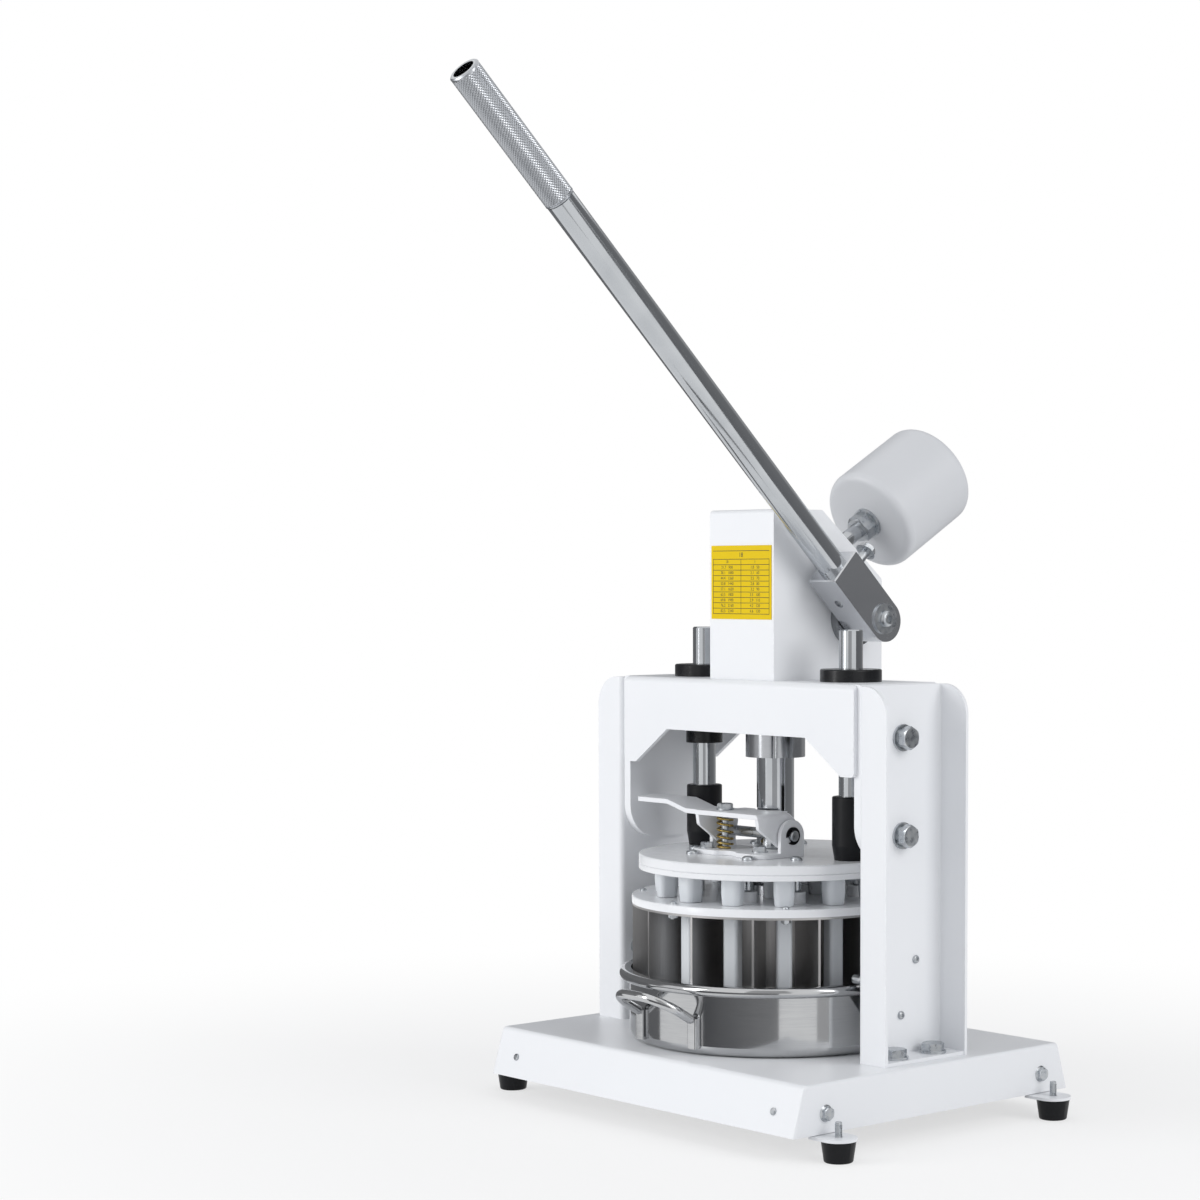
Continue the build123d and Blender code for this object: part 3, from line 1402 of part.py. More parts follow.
def weight_rod():
    """Threaded rod from the crank to the counterweight."""
    return weight_plane * bar_z(weight_rod_diameter, -weight_block_back, weight_distance + weight_rod_sunk)


def counterweight():
    """Painted steel cylinder with rounded edges."""
    body = bar_z(weight_diameter, weight_distance, weight_distance + weight_length)
    body = fillet(body.edges(), weight_edge)
    hole = bar_z(weight_rod_diameter + 2 * SEAT, weight_distance - OVER,
                 weight_distance + weight_rod_sunk + OVER)
    return weight_plane * (body - hole)


def weight_nut_set():
    """Lock nut and washer against the counterweight."""
    washer_low = weight_distance - weight_washer_sheet
    washer = tube_z(weight_washer_diameter, weight_rod_diameter + 2 * SEAT, washer_low, weight_distance)
    nut = Pos(0, 0, washer_low) * Rot(180, 0, 0) * hex_nut(weight_rod_diameter, weight_nut_flats, weight_nut)
    return group([weight_plane * nut, weight_plane * washer])


# Pan
def dough_pan():
    """Deep-drawn pan with a rolled rim."""
    middle = (pan_floor + pan_rim) / 2
    outer = Pos(pan_outer_radius / 2, middle) * Rectangle(pan_outer_radius, pan_height)
    outer = fillet(outer.vertices().group_by(Axis.X)[-1].sort_by(Axis.Y)[0], pan_corner)
    cavity = Pos(pan_inner_radius / 2, middle + pan_wall) * Rectangle(pan_inner_radius, pan_height)
    cavity = fillet(cavity.vertices().group_by(Axis.X)[-1].sort_by(Axis.Y)[0], pan_corner - pan_wall)
    bead_radius = pan_rim_radius - pan_bead / 2
    bead = Pos(bead_radius, pan_rim - pan_bead / 2) * Circle(pan_bead / 2)
    lip = Rectangle(bead_radius - pan_inner_radius, pan_wall)
    lip = Pos((pan_inner_radius + bead_radius) / 2, pan_rim - pan_wall / 2) * lip
    return revolve(Plane.XZ * (outer + lip + bead - cavity), Axis.Z)


pan_tab_low = pan_floor + pan_tab_rise
pan_tab_high = pan_tab_low + pan_tab_height


def pan_handle():
    """Bent rod that stands out and up, its two ends flattened to tabs on the pan's front."""
    half = pan_tab_width / 2
    face = math.sqrt(pan_outer_radius ** 2 - (pan_handle_half - half) ** 2)
    seat = -face - pan_wire / 2
    top = pan_tab_high + pan_handle_lift
    out = seat - pan_handle_reach
    ends = [(-pan_handle_half, seat, pan_tab_high), (pan_handle_half, seat, pan_tab_high)]
    path = FilletPolyline(ends[0], (-pan_handle_half, out, top), (pan_handle_half, out, top), ends[1],
                          radius=pan_handle_bend)
    start = Plane(origin=path @ 0, z_dir=path % 0)
    handle = sweep(start * Circle(pan_wire / 2), path)
    for x, y, z in ends:
        tab = block(x - half, x + half, -face - pan_tab_sheet, -face + pan_tab_sheet, pan_tab_low, z)
        tab = fillet(tab.edges().filter_by(Axis.Z), pan_tab_edge)
        handle += tab + Pos(x, y, z) * Sphere(pan_wire / 2)
    return handle - bar_z(2 * pan_outer_radius + 2 * SEAT, pan_floor, pan_rim)


middle_y = (handle_grip().bounding_box().min.Y + counterweight().bounding_box().max.Y) / 2
print(f"the shaft axis stands {-middle_y:.3f} mm behind the origin")


def save(name, piece):
    """Writes one node, moved so that the origin lies below the middle of the machine."""
    solids = [Pos(0, -middle_y, 0) * one for one in piece.solids()]
    export_step(Compound(children=solids), f"parts/{name}.step")


save("base_cover", base_cover())
save("base_rivets", base_rivets())
save("foot_brackets", four_feet(foot_bracket()))
save("rubber_feet", four_feet(rubber_foot()))
save("foot_studs", four_feet(foot_stud()))
save("foot_bolts", foot_bolts())
save("right_column", column())
save("left_column", mirrored_x(column()))
save("column_bolts", column_bolts())
save("pan_guides", pan_guides())
save("pan_guide_screws", pan_guide_screws())
save("crosshead", crosshead())
save("crosshead_bolts", ear_bolts())
save("tower_housing", tower_housing())
save("division_chart", division_chart())
save("pivot_bearings", pivot_bearings())
save("shaft_guide", shaft_guide())
save("crosshead_screws", group(tower_screws() + guide_bolts()))
save("guide_bushes", group([guide_bush(-rod_spread), guide_bush(rod_spread)]))

save("lever_block", lever_block())
save("handle_tube", handle_tube())
save("handle_grip", handle_grip())
save("handle_screws", group([set_screw(), clamp_bolt()]))
save("pivot_shaft", pivot_shaft())
save("pivot_screw", group([end_screw(), end_washer()]))
save("pivot_collar", pivot_collar())
save("bell_crank", crank())
save("crank_key", key_room(0))
save("crank_pin", crank_pin())
save("counterweight_rod", weight_rod())
save("counterweight", counterweight())
save("counterweight_nut", weight_nut_set())

save("ram_shaft", ram_shaft())
save("drive_yoke", drive_yoke())
save("knife_plate", knife_plate())
save("knife_carrier", knife_carrier())
save("outer_blades", outer_blades())
save("knife_ring", knife_ring())
save("knife_cross", knife_cross())
save("knife_hub", knife_hub())
save("shaft_bolt", shaft_bolt())
save("knife_screws", knife_screws())

save("press_plate", press_plate())
save("backing_plate", backing_plate())
save("press_bush", press_bush())
save("outer_pads", group(around(outer_pad(), portion_count, pitch_angle / 2)))
save("inner_pads", group(around(inner_pad(), core_count, core_turn)))
save("guide_rods", group([guide_rod(-rod_spread), guide_rod(rod_spread)]))
save("press_screws", group(pad_screws() + stop_pins() + rod_screws()))
save("rod_boots", group([rod_boot(-rod_spread), rod_boot(rod_spread)]))
save("latch_bracket", latch_bracket())
save("bracket_bolts", bracket_bolts())
save("latch_pin", latch_pin())
save("latch_clips", latch_clips())
save("latch_spring", latch_spring())
save("spring_bolt", spring_bolt())
save("latch_lever", latch_lever())

save("dough_pan", dough_pan())
save("pan_handle", pan_handle())
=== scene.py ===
import json
import math
import bmesh
import bpy
from mathutils import Matrix, Vector


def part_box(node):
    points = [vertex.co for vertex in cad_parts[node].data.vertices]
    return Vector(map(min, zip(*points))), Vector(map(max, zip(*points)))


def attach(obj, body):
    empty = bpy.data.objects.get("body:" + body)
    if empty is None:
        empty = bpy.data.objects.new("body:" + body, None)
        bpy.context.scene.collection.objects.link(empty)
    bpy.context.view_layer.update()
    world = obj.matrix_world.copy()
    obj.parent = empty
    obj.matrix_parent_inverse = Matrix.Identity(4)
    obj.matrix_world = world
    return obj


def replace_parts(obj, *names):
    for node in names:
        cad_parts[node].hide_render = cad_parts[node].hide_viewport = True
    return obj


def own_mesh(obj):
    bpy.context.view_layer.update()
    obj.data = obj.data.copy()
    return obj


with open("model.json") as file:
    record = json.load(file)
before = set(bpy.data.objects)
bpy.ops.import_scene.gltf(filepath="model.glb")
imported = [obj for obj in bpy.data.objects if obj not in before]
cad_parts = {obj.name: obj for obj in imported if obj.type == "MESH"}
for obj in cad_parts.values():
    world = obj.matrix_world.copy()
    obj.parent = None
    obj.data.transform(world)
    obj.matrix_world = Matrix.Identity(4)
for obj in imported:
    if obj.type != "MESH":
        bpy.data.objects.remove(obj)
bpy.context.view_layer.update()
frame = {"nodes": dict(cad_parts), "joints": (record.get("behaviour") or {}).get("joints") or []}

# A hand lever press that divides dough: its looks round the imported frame.
# Pieces and patterns are sized in millimetres, which MM turns to metres. Floor, camera, cards and lights
# are in metres.
MM = 0.001
nodes = frame["nodes"]
joints = {joint["name"]: joint for joint in frame["joints"]}
shaft_axis = Vector(joints["pan_turn"]["pos_m"])
lever_pivot = Vector(joints["lever_pivot"]["pos_m"])
lever_angle = math.radians(43.9)

# Kinds of node and of tree input that come up often
MATH = "ShaderNodeMath"
NOISE = "ShaderNodeTexNoise"
RANGE = "ShaderNodeMapRange"
MIX = "ShaderNodeMix"
BUMP = "ShaderNodeBump"
VECTOR = "ShaderNodeCombineXYZ"
JOIN = "GeometryNodeJoinGeometry"
MOVE = "GeometryNodeTransform"
LINE = "GeometryNodeMeshLine"
CUBE = "GeometryNodeMeshCube"
COPIES = "GeometryNodeInstanceOnPoints"
FLOAT = "NodeSocketFloat"
COUNT = "NodeSocketInt"
FINISH = "NodeSocketMaterial"

# Sockets of the mix node, which share their names
FACTOR = 0
VALUE_A = 2
VALUE_B = 3
COLOUR_A = 6
COLOUR_B = 7
COLOUR_OUT = 2


def linear(hex_colour):
    """An sRGB hex colour as linear RGBA."""
    shares = [int(hex_colour[k:k + 2], 16) / 255 for k in (1, 3, 5)]
    return [s / 12.92 if s <= 0.04045 else ((s + 0.055) / 1.055) ** 2.4 for s in shares] + [1.0]


def pattern(size, detail):
    """Noise inputs for features of a size in millimetres."""
    return {"Scale": 1 / (size * MM), "Detail": detail}


def between(low, high):
    """Range inputs for a result between two values."""
    return {"To Min": low, "To Max": high}


def add(tree, kind, inputs=None, **settings):
    """Adds one node with its settings; an input is a value, another node's output or a tuple of outputs."""
    made = tree.nodes.new(kind)
    for name, value in settings.items():
        setattr(made, name, value)
    for key, value in (inputs or {}).items():
        sources = value if isinstance(value, tuple) else (value,)
        if isinstance(sources[0], bpy.types.NodeSocket):
            for source in sources:
                tree.links.new(source, made.inputs[key])
        else:
            made.inputs[key].default_value = value
    return made


def empty_tree(owner):
    """The cleared node tree of a material or a world."""
    owner.use_nodes = True
    owner.node_tree.nodes.clear()
    return owner.node_tree


def new_finish(name):
    """A new material with its tree and the piece's own coordinates."""
    material = bpy.data.materials.new(name)
    tree = empty_tree(material)
    return material, tree, add(tree, "ShaderNodeTexCoord").outputs["Object"]


def coat(tree, inputs):
    """Ends a material's tree in one shader."""
    shader = add(tree, "ShaderNodeBsdfPrincipled", inputs).outputs[0]
    add(tree, "ShaderNodeOutputMaterial", {"Surface": shader})


# The middle part of a noise's range, where most of its values lie
noise_middle = {"From Min": 0.3, "From Max": 0.7}

# Painted surfaces
paint_drift = pattern(160, detail=2)
paint_flow = pattern(11, detail=3)
paint_peel = pattern(1.8, detail=1)
peel_strength = 0.05
peel_depth = 0.05


def powder_coat(name, bright, dull, rough):
    # Polyester powder baked on metal: a satin white skin with a faint orange peel, its tone drifting slowly.
    material, tree, place = new_finish(name)
    drift = add(tree, NOISE, {"Vector": place, **paint_drift}).outputs[0]
    tones = {FACTOR: drift, COLOUR_A: linear(bright), COLOUR_B: linear(dull)}
    tone = add(tree, MIX, tones, data_type="RGBA").outputs[COLOUR_OUT]
    flow = add(tree, NOISE, {"Vector": place, **paint_flow}).outputs[0]
    gloss = add(tree, RANGE, {"Value": flow, **rough}).outputs[0]
    peel = add(tree, NOISE, {"Vector": place, **paint_peel}).outputs[0]
    dents = {"Height": peel, "Strength": peel_strength, "Distance": peel_depth * MM}
    bump = add(tree, BUMP, dents).outputs[0]
    coat(tree, {"Base Color": tone, "Roughness": gloss, "Normal": bump})
    return material


# Metals
wipe_marks = pattern(35, detail=4)
wipe_bend = 0.6
wipe_range = {"From Min": 0.3, "From Max": 0.75}


def plated_bar(name, colour, worn, rough):
    # Hard chrome on ground bar: a mirror with long faint wipe marks that dull it in places.
    material, tree, place = new_finish(name)
    wipe = add(tree, NOISE, {"Vector": place, **wipe_marks, "Distortion": wipe_bend}).outputs[0]
    tones = {FACTOR: wipe, COLOUR_A: linear(colour), COLOUR_B: linear(worn)}
    tone = add(tree, MIX, tones, data_type="RGBA").outputs[COLOUR_OUT]
    gloss = add(tree, RANGE, {"Value": wipe, **wipe_range, **rough}).outputs[0]
    coat(tree, {"Base Color": tone, "Metallic": 1.0, "Roughness": gloss})
    return material


line_detail = 5
line_roughness = 0.7
line_depth = 0.02
metal_cloud = pattern(40, detail=2)
streak_range = {"From Min": 0.12, "From Max": 0.4}
no_turn = (0.0, 0.0, 0.0)


def lined_metal(name, colour, shade, line, run, rough, relief, turn=no_turn):
    # Ground, spun or cold-rolled metal: fine lines one way that streak its tone and gloss. The lines are
    # drawn several times coarser than grit leaves them, so that they show.
    material, tree, place = new_finish(name)
    laid = add(tree, "ShaderNodeMapping", {"Vector": place, "Rotation": turn, "Scale": run}).outputs[0]
    grit = {"Vector": laid, **pattern(line, line_detail), "Roughness": line_roughness}
    lines = add(tree, NOISE, grit).outputs[0]
    cloud = add(tree, NOISE, {"Vector": place, **metal_cloud}).outputs[0]
    both = add(tree, MATH, {0: lines, 1: cloud}, operation="MULTIPLY").outputs[0]
    streak = add(tree, RANGE, {"Value": both, **streak_range}).outputs[0]
    tones = {FACTOR: streak, COLOUR_A: linear(colour), COLOUR_B: linear(shade)}
    tone = add(tree, MIX, tones, data_type="RGBA").outputs[COLOUR_OUT]
    gloss = add(tree, RANGE, {"Value": lines, **noise_middle, **rough}).outputs[0]
    bump = add(tree, BUMP, {"Height": lines, "Strength": relief, "Distance": line_depth * MM}).outputs[0]
    coat(tree, {"Base Color": tone, "Metallic": 1.0, "Roughness": gloss, "Normal": bump})
    return material


patch_detail = 3
ramp_first = 0.32
ramp_last = 0.68
plating_grain = pattern(0.5, detail=2)
plating_relief = 0.08
plating_depth = 0.02


def plated_small_parts(name, colours, patch, rough):
    # Barrel-plated fasteners: zinc takes unevenly, so tone and gloss cloud from patch to patch.
    material, tree, place = new_finish(name)
    cloud = add(tree, NOISE, {"Vector": place, **pattern(patch, patch_detail)}).outputs[0]
    ramp = add(tree, "ShaderNodeValToRGB", {0: cloud})
    first, last = ramp.color_ramp.elements
    first.position = ramp_first
    first.color = linear(colours[0])
    last.position = ramp_last
    last.color = linear(colours[-1])
    for step, colour in enumerate(colours[1:-1], 1):
        spot = ramp_first + (ramp_last - ramp_first) * step / (len(colours) - 1)
        ramp.color_ramp.elements.new(spot).color = linear(colour)
    gloss = add(tree, RANGE, {"Value": cloud, **noise_middle, **rough}).outputs[0]
    grain = add(tree, NOISE, {"Vector": place, **plating_grain}).outputs[0]
    dents = {"Height": grain, "Strength": plating_relief, "Distance": plating_depth * MM}
    bump = add(tree, BUMP, dents).outputs[0]
    coat(tree, {"Base Color": ramp.outputs[0], "Metallic": 1.0, "Roughness": gloss, "Normal": bump})
    return material


# Rubber, plastic and print
mould_bloom = pattern(18, detail=3)
grain_detail = 2
grain_depth = 0.05
glow_reach = 2.5


def moulded(name, colour, shade, grain, rough, relief, shine=0.5, glow=0.0):
    # Moulded rubber or plastic: one colour with a slight bloom, matt from the mould's fine grain.
    material, tree, place = new_finish(name)
    bloom = add(tree, NOISE, {"Vector": place, **mould_bloom}).outputs[0]
    tones = {FACTOR: bloom, COLOUR_A: linear(colour), COLOUR_B: linear(shade)}
    tone = add(tree, MIX, tones, data_type="RGBA").outputs[COLOUR_OUT]
    gloss = add(tree, RANGE, {"Value": bloom, **noise_middle, **rough}).outputs[0]
    skin = add(tree, NOISE, {"Vector": place, **pattern(grain, grain_detail)}).outputs[0]
    bump = add(tree, BUMP, {"Height": skin, "Strength": relief, "Distance": grain_depth * MM}).outputs[0]
    coat(tree, {
        "Base Color": tone, "Roughness": gloss, "Normal": bump, "Specular IOR Level": shine,
        "Subsurface Weight": glow, "Subsurface Radius": [glow_reach * MM] * 3, "Subsurface Scale": 1.0})
    return material


# Which way a metal's lines run: the pattern is stretched along the axes with a small share, and along_lever
# is the turn that lays it on the lever
along_x = (0.04, 1.0, 1.0)
round_x = (1.0, 0.04, 0.04)
level_lines = (0.03, 0.03, 1.0)
upright_lines = (1.0, 1.0, 0.04)
along_lever = (lever_angle - math.pi / 2, 0, 0)

finishes = {
    "paint": powder_coat("white_powder_coat_on_steel", "#F1F2F4", "#E9EBEE", between(0.28, 0.38)),
    "plate_paint": powder_coat("white_powder_coat_on_aluminium", "#EFF0F2", "#E6E8EB", between(0.15, 0.24)),
    "weight_paint": powder_coat("white_hammered_powder_coat", "#DADBDE", "#D0D2D5", between(0.34, 0.46)),
    "chrome_bar": plated_bar("hard_chrome_on_ground_bar", "#C6C9CC", "#AEB1B5", between(0.05, 0.13)),
    "chrome_tube": plated_bar("bright_chrome_on_tube", "#CDD0D3", "#B7BBBF", between(0.06, 0.16)),
    "knurl": plated_bar("chrome_on_knurled_sleeve", "#BFC2C6", "#A9ACB1", between(0.24, 0.33)),
    "pan": lined_metal("spun_stainless_pan", "#C3C4C5", "#B5B6B8", line=0.9, run=level_lines,
                       rough=between(0.07, 0.13), relief=0.02),
    "wire": lined_metal("polished_stainless_rod", "#CACBCC", "#BABBBD", line=1.2, run=along_x,
                        rough=between(0.08, 0.14), relief=0.02),
    "blade": lined_metal("cold_rolled_stainless_blade", "#B2B1B1", "#A8A7A7", line=1.1, run=upright_lines,
                         rough=between(0.30, 0.36), relief=0.02),
    "ground": lined_metal("ground_steel_block", "#CDCFD2", "#C3C5C9", line=0.8, run=upright_lines,
                          rough=between(0.18, 0.25), relief=0.02, turn=along_lever),
    "turned": lined_metal("turned_steel", "#B4B6B9", "#AAACB0", line=0.7, run=level_lines,
                          rough=between(0.16, 0.22), relief=0.02),
    "turned_across": lined_metal("turned_cross_shaft_steel", "#A2A4A7", "#85878B", line=0.7, run=round_x,
                                 rough=between(0.22, 0.36), relief=0.08),
    "bronze": lined_metal("turned_bronze", "#B0834A", "#93693A", line=0.8, run=level_lines,
                          rough=between(0.25, 0.40), relief=0.08),
    "oxide": lined_metal("black_oxide_steel", "#2B2C2E", "#1F2022", line=0.8, run=level_lines,
                         rough=between(0.34, 0.48), relief=0.08),
    "zinc": plated_small_parts("bright_zinc_plate", ("#A9AEB3", "#BBBFC3", "#C4C6C8"), patch=4.0,
                               rough=between(0.24, 0.40)),
    "yellow_zinc": plated_small_parts("yellow_passivated_zinc", ("#7E6B3E", "#A98F52", "#B9A56C", "#96906A"),
                                      patch=3.0, rough=between(0.22, 0.36)),
    "acetal": moulded("black_acetal", "#1A1B1E", "#121315", grain=0.9, rough=between(0.20, 0.30),
                      relief=0.06, shine=0.3),
    "rubber": moulded("black_moulded_rubber", "#17181B", "#0F1013", grain=0.7, rough=between(0.30, 0.42),
                      relief=0.12, shine=0.2),
    "nylon": moulded("white_cast_nylon", "#DFE2E5", "#D5D9DD", grain=1.0, rough=between(0.34, 0.44),
                     relief=0.10, glow=0.3),
    "vinyl": moulded("yellow_vinyl_sheet", "#E6C600", "#DFBE00", grain=1.5, rough=between(0.34, 0.44),
                     relief=0.06, shine=0.15),
    "print": moulded("black_screen_print", "#24231D", "#1A1A16", grain=1.5, rough=between(0.45, 0.55),
                     relief=0.05),
}

# The nodes that wear each finish
worn_by = {
    "paint": ("base_cover", "foot_brackets", "right_column", "left_column", "crosshead", "tower_housing",
              "latch_bracket", "latch_lever"),
    "plate_paint": ("knife_plate", "press_plate", "backing_plate"),
    "weight_paint": ("counterweight",),
    "chrome_bar": ("counterweight_rod", "ram_shaft", "guide_rods"),
    "chrome_tube": ("handle_tube",),
    "knurl": ("handle_grip",),
    "pan": ("dough_pan",),
    "wire": ("pan_handle",),
    "blade": ("knife_carrier", "outer_blades", "knife_ring", "knife_cross"),
    "ground": ("lever_block",),
    "turned": ("shaft_guide", "drive_yoke", "knife_hub"),
    "turned_across": ("pivot_bearings", "pivot_shaft", "pivot_collar", "bell_crank", "crank_key",
                      "crank_pin"),
    "bronze": ("press_bush",),
    "oxide": ("latch_clips",),
    "zinc": ("base_rivets", "foot_studs", "foot_bolts", "column_bolts", "pan_guides", "pan_guide_screws",
             "crosshead_bolts", "crosshead_screws", "handle_screws", "pivot_screw", "counterweight_nut",
             "shaft_bolt", "knife_screws", "press_screws", "bracket_bolts", "latch_pin", "spring_bolt"),
    "yellow_zinc": ("latch_spring",),
    "acetal": ("guide_bushes",),
    "rubber": ("rubber_feet", "rod_boots"),
    "nylon": ("outer_pads", "inner_pads"),
    "vinyl": ("division_chart",),
}
node_finish = {name: look for look, names in worn_by.items() for name in names}
for name, look in node_finish.items():
    nodes[name].data.materials.clear()
    nodes[name].data.materials.append(finishes[look])


# Making pieces
def placed(name, mesh, body, look):
    """A finished piece at the origin that rides on a body."""
    piece = bpy.data.objects.new(name, mesh)
    bpy.context.scene.collection.objects.link(piece)
    mesh.materials.clear()
    mesh.materials.append(finishes[look])
    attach(piece, body)
    return piece


def plain_mesh(carrier):
    """The evaluated mesh of an object, which is then deleted."""
    bpy.context.view_layer.update()
    evaluated = carrier.evaluated_get(bpy.context.evaluated_depsgraph_get())
    mesh = bpy.data.meshes.new_from_object(evaluated)
    bpy.data.objects.remove(carrier)
    return mesh


def grown(tree, mesh, values):
    """Runs a node tree on a mesh with its inputs set, and returns the result as a plain mesh."""
    carrier = bpy.data.objects.new(tree.name, mesh)
    bpy.context.scene.collection.objects.link(carrier)
    modifier = carrier.modifiers.new(tree.name, "NODES")
    modifier.node_group = tree
    for socket in tree.interface.items_tree:
        if socket.in_out == "INPUT" and socket.name in values:
            modifier[socket.identifier] = values[socket.name]
    return plain_mesh(carrier)


def new_tree(name, inputs):
    """A geometry tree with named inputs; returns it with its inputs and its output node."""
    tree = bpy.data.node_groups.new(name, "GeometryNodeTree")
    tree.interface.new_socket("Geometry", in_out="INPUT", socket_type="NodeSocketGeometry")
    for label, kind in inputs.items():
        tree.interface.new_socket(label, in_out="INPUT", socket_type=kind)
    tree.interface.new_socket("Geometry", in_out="OUTPUT", socket_type="NodeSocketGeometry")
    return tree, tree.nodes.new("NodeGroupInput").outputs, tree.nodes.new("NodeGroupOutput")


def close_tree(tree, given, out, geometry):
    """Ends a geometry tree: instances become a mesh with the given finish."""
    whole = add(tree, "GeometryNodeRealizeInstances", {"Geometry": geometry}).outputs[0]
    bare = {"Geometry": whole, "Material": given["Finish"]}
    coated = add(tree, "GeometryNodeSetMaterial", bare).outputs[0]
    tree.links.new(coated, out.inputs[0])


crease_angle = math.radians(30)


def closed_turning(profile, around):
    """A ring mesh turned about Z from a closed profile of radius and height, in millimetres."""
    work = bmesh.new()
    rings = []
    for radius, height in profile:
        ring = []
        for k in range(around):
            angle = 2 * math.pi * k / around
            spot = (radius * MM * math.cos(angle), radius * MM * math.sin(angle), height * MM)
            ring.append(work.verts.new(spot))
        rings.append(ring)
    for low, high in zip(rings, rings[1:] + rings[:1]):
        for k in range(around):
            work.faces.new((low[k], low[(k + 1) % around], high[(k + 1) % around], high[k]))
    bmesh.ops.recalc_face_normals(work, faces=work.faces)
    for face in work.faces:
        face.smooth = True
    for edge in work.edges:
        edge.smooth = edge.calc_face_angle(0.0) < crease_angle
    mesh = bpy.data.meshes.new("turning")
    work.to_mesh(mesh)
    work.free()
    return mesh


merge_reach = 0.002 * MM
flat_angle = math.radians(0.2)
sharp_angle = math.radians(35)
edge_segments = 2


def softened(name, width, body):
    """A copy that stands for a node, its sharp edges rounded as paint and handling leave them."""
    work = bmesh.new()
    work.from_mesh(nodes[name].data)
    bmesh.ops.remove_doubles(work, verts=work.verts, dist=merge_reach)
    bmesh.ops.dissolve_limit(work, angle_limit=flat_angle, verts=work.verts, edges=work.edges)
    for face in work.faces:
        face.smooth = True
    for edge in work.edges:
        edge.smooth = True
    mesh = bpy.data.meshes.new(name + "_soft")
    work.to_mesh(mesh)
    work.free()
    if "custom_normal" in mesh.attributes:
        mesh.attributes.remove(mesh.attributes["custom_normal"])
    carrier = bpy.data.objects.new(name + "_soft", mesh)
    bpy.context.scene.collection.objects.link(carrier)
    bevel = carrier.modifiers.new("edge", "BEVEL")
    bevel.width = width * MM
    bevel.segments = edge_segments
    bevel.limit_method = "ANGLE"
    bevel.angle_limit = sharp_angle
    bevel.harden_normals = True
    piece = placed(name + "_soft", plain_mesh(carrier), body, node_finish[name])
    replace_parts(piece, name)


# Sizes that the turned relief takes from the trees that use it
relief_sizes = {"Around": COUNT, "Rows": COUNT, "Root radius": FLOAT, "Depth": FLOAT, "Length": FLOAT}
weld_reach = 0.001 * MM


def relief_tree():
    """Turned relief: a grid wrapped round Z whose rows stand out in turn, as diamonds or as a thread."""
    tree, given, out = new_tree("turned_relief", {
        **relief_sizes, "Lead": FLOAT, "Diamond": FLOAT, "Runout": FLOAT})
    # Each point's turn, as a share of the circle, and its height
    across = add(tree, MATH, {0: given["Around"], 1: 1.0}, operation="ADD").outputs[0]
    upward = add(tree, MATH, {0: given["Rows"], 1: 1.0}, operation="ADD").outputs[0]
    grid = add(tree, "GeometryNodeMeshGrid", {"Vertices X": across, "Vertices Y": upward}).outputs[0]
    index = add(tree, "GeometryNodeInputIndex").outputs[0]
    column = add(tree, MATH, {0: index, 1: upward}, operation="DIVIDE").outputs[0]
    column = add(tree, MATH, {0: column}, operation="FLOOR").outputs[0]
    row = add(tree, MATH, {0: index, 1: upward}, operation="FLOORED_MODULO").outputs[0]
    turn = add(tree, MATH, {0: column, 1: given["Around"]}, operation="DIVIDE").outputs[0]
    angle = add(tree, MATH, {0: turn, 1: 2 * math.pi}, operation="MULTIPLY").outputs[0]
    rise = add(tree, MATH, {0: row, 1: given["Rows"]}, operation="DIVIDE").outputs[0]
    height = add(tree, MATH, {0: rise, 1: given["Length"]}, operation="MULTIPLY").outputs[0]
    climb = add(tree, MATH, {0: turn, 1: given["Lead"], 2: height}, operation="MULTIPLY_ADD").outputs[0]
    # Every second row stands proud, or every second point of a diamond pattern, and both ends run out
    count = add(tree, MATH, {0: column, 1: given["Diamond"], 2: row}, operation="MULTIPLY_ADD").outputs[0]
    proud = add(tree, MATH, {0: count, 1: 2.0}, operation="FLOORED_MODULO").outputs[0]
    left = add(tree, MATH, {0: 1.0, 1: rise}, operation="SUBTRACT").outputs[0]
    nearest = add(tree, MATH, {0: rise, 1: left}, operation="MINIMUM").outputs[0]
    to_end = {0: nearest, 1: given["Runout"]}
    fade = add(tree, MATH, to_end, operation="DIVIDE", use_clamp=True).outputs[0]
    stand = add(tree, MATH, {0: proud, 1: given["Depth"]}, operation="MULTIPLY").outputs[0]
    outward = {0: stand, 1: fade, 2: given["Root radius"]}
    radius = add(tree, MATH, outward, operation="MULTIPLY_ADD").outputs[0]
    # The grid takes its places, closed at the seam
    cosine = add(tree, MATH, {0: angle}, operation="COSINE").outputs[0]
    sine = add(tree, MATH, {0: angle}, operation="SINE").outputs[0]
    x = add(tree, MATH, {0: radius, 1: cosine}, operation="MULTIPLY").outputs[0]
    y = add(tree, MATH, {0: radius, 1: sine}, operation="MULTIPLY").outputs[0]
    spot = add(tree, VECTOR, {0: x, 1: y, 2: climb}).outputs[0]
    wrapped = add(tree, "GeometryNodeSetPosition", {"Geometry": grid, "Position": spot}).outputs[0]
    cut = add(tree, "GeometryNodeTriangulate", {"Mesh": wrapped}, quad_method="SHORTEST_DIAGONAL").outputs[0]
    shut = add(tree, "GeometryNodeMergeByDistance", {"Geometry": cut, "Distance": weld_reach}).outputs[0]
    flat = add(tree, "GeometryNodeSetShadeSmooth", {"Geometry": shut, "Shade Smooth": False}).outputs[0]
    whole = add(tree, JOIN, {0: (given["Geometry"], flat)}).outputs[0]
    tree.links.new(whole, out.inputs[0])
    return tree


relief = relief_tree()

# Knurled grip on the end of the lever
block_middle = 64.75
handle_reach = 586.0
grip_length = 124.0
grip_radius = 12.5
grip_bore = 10.52
grip_edge = 1.0
grip_band = 2.0
grip_sides = 96
knurl_depth = 0.5
knurl_count = 34
knurl_row = 1.35
knurl_runout = 0.001
sleeve_under_knurl = 0.1


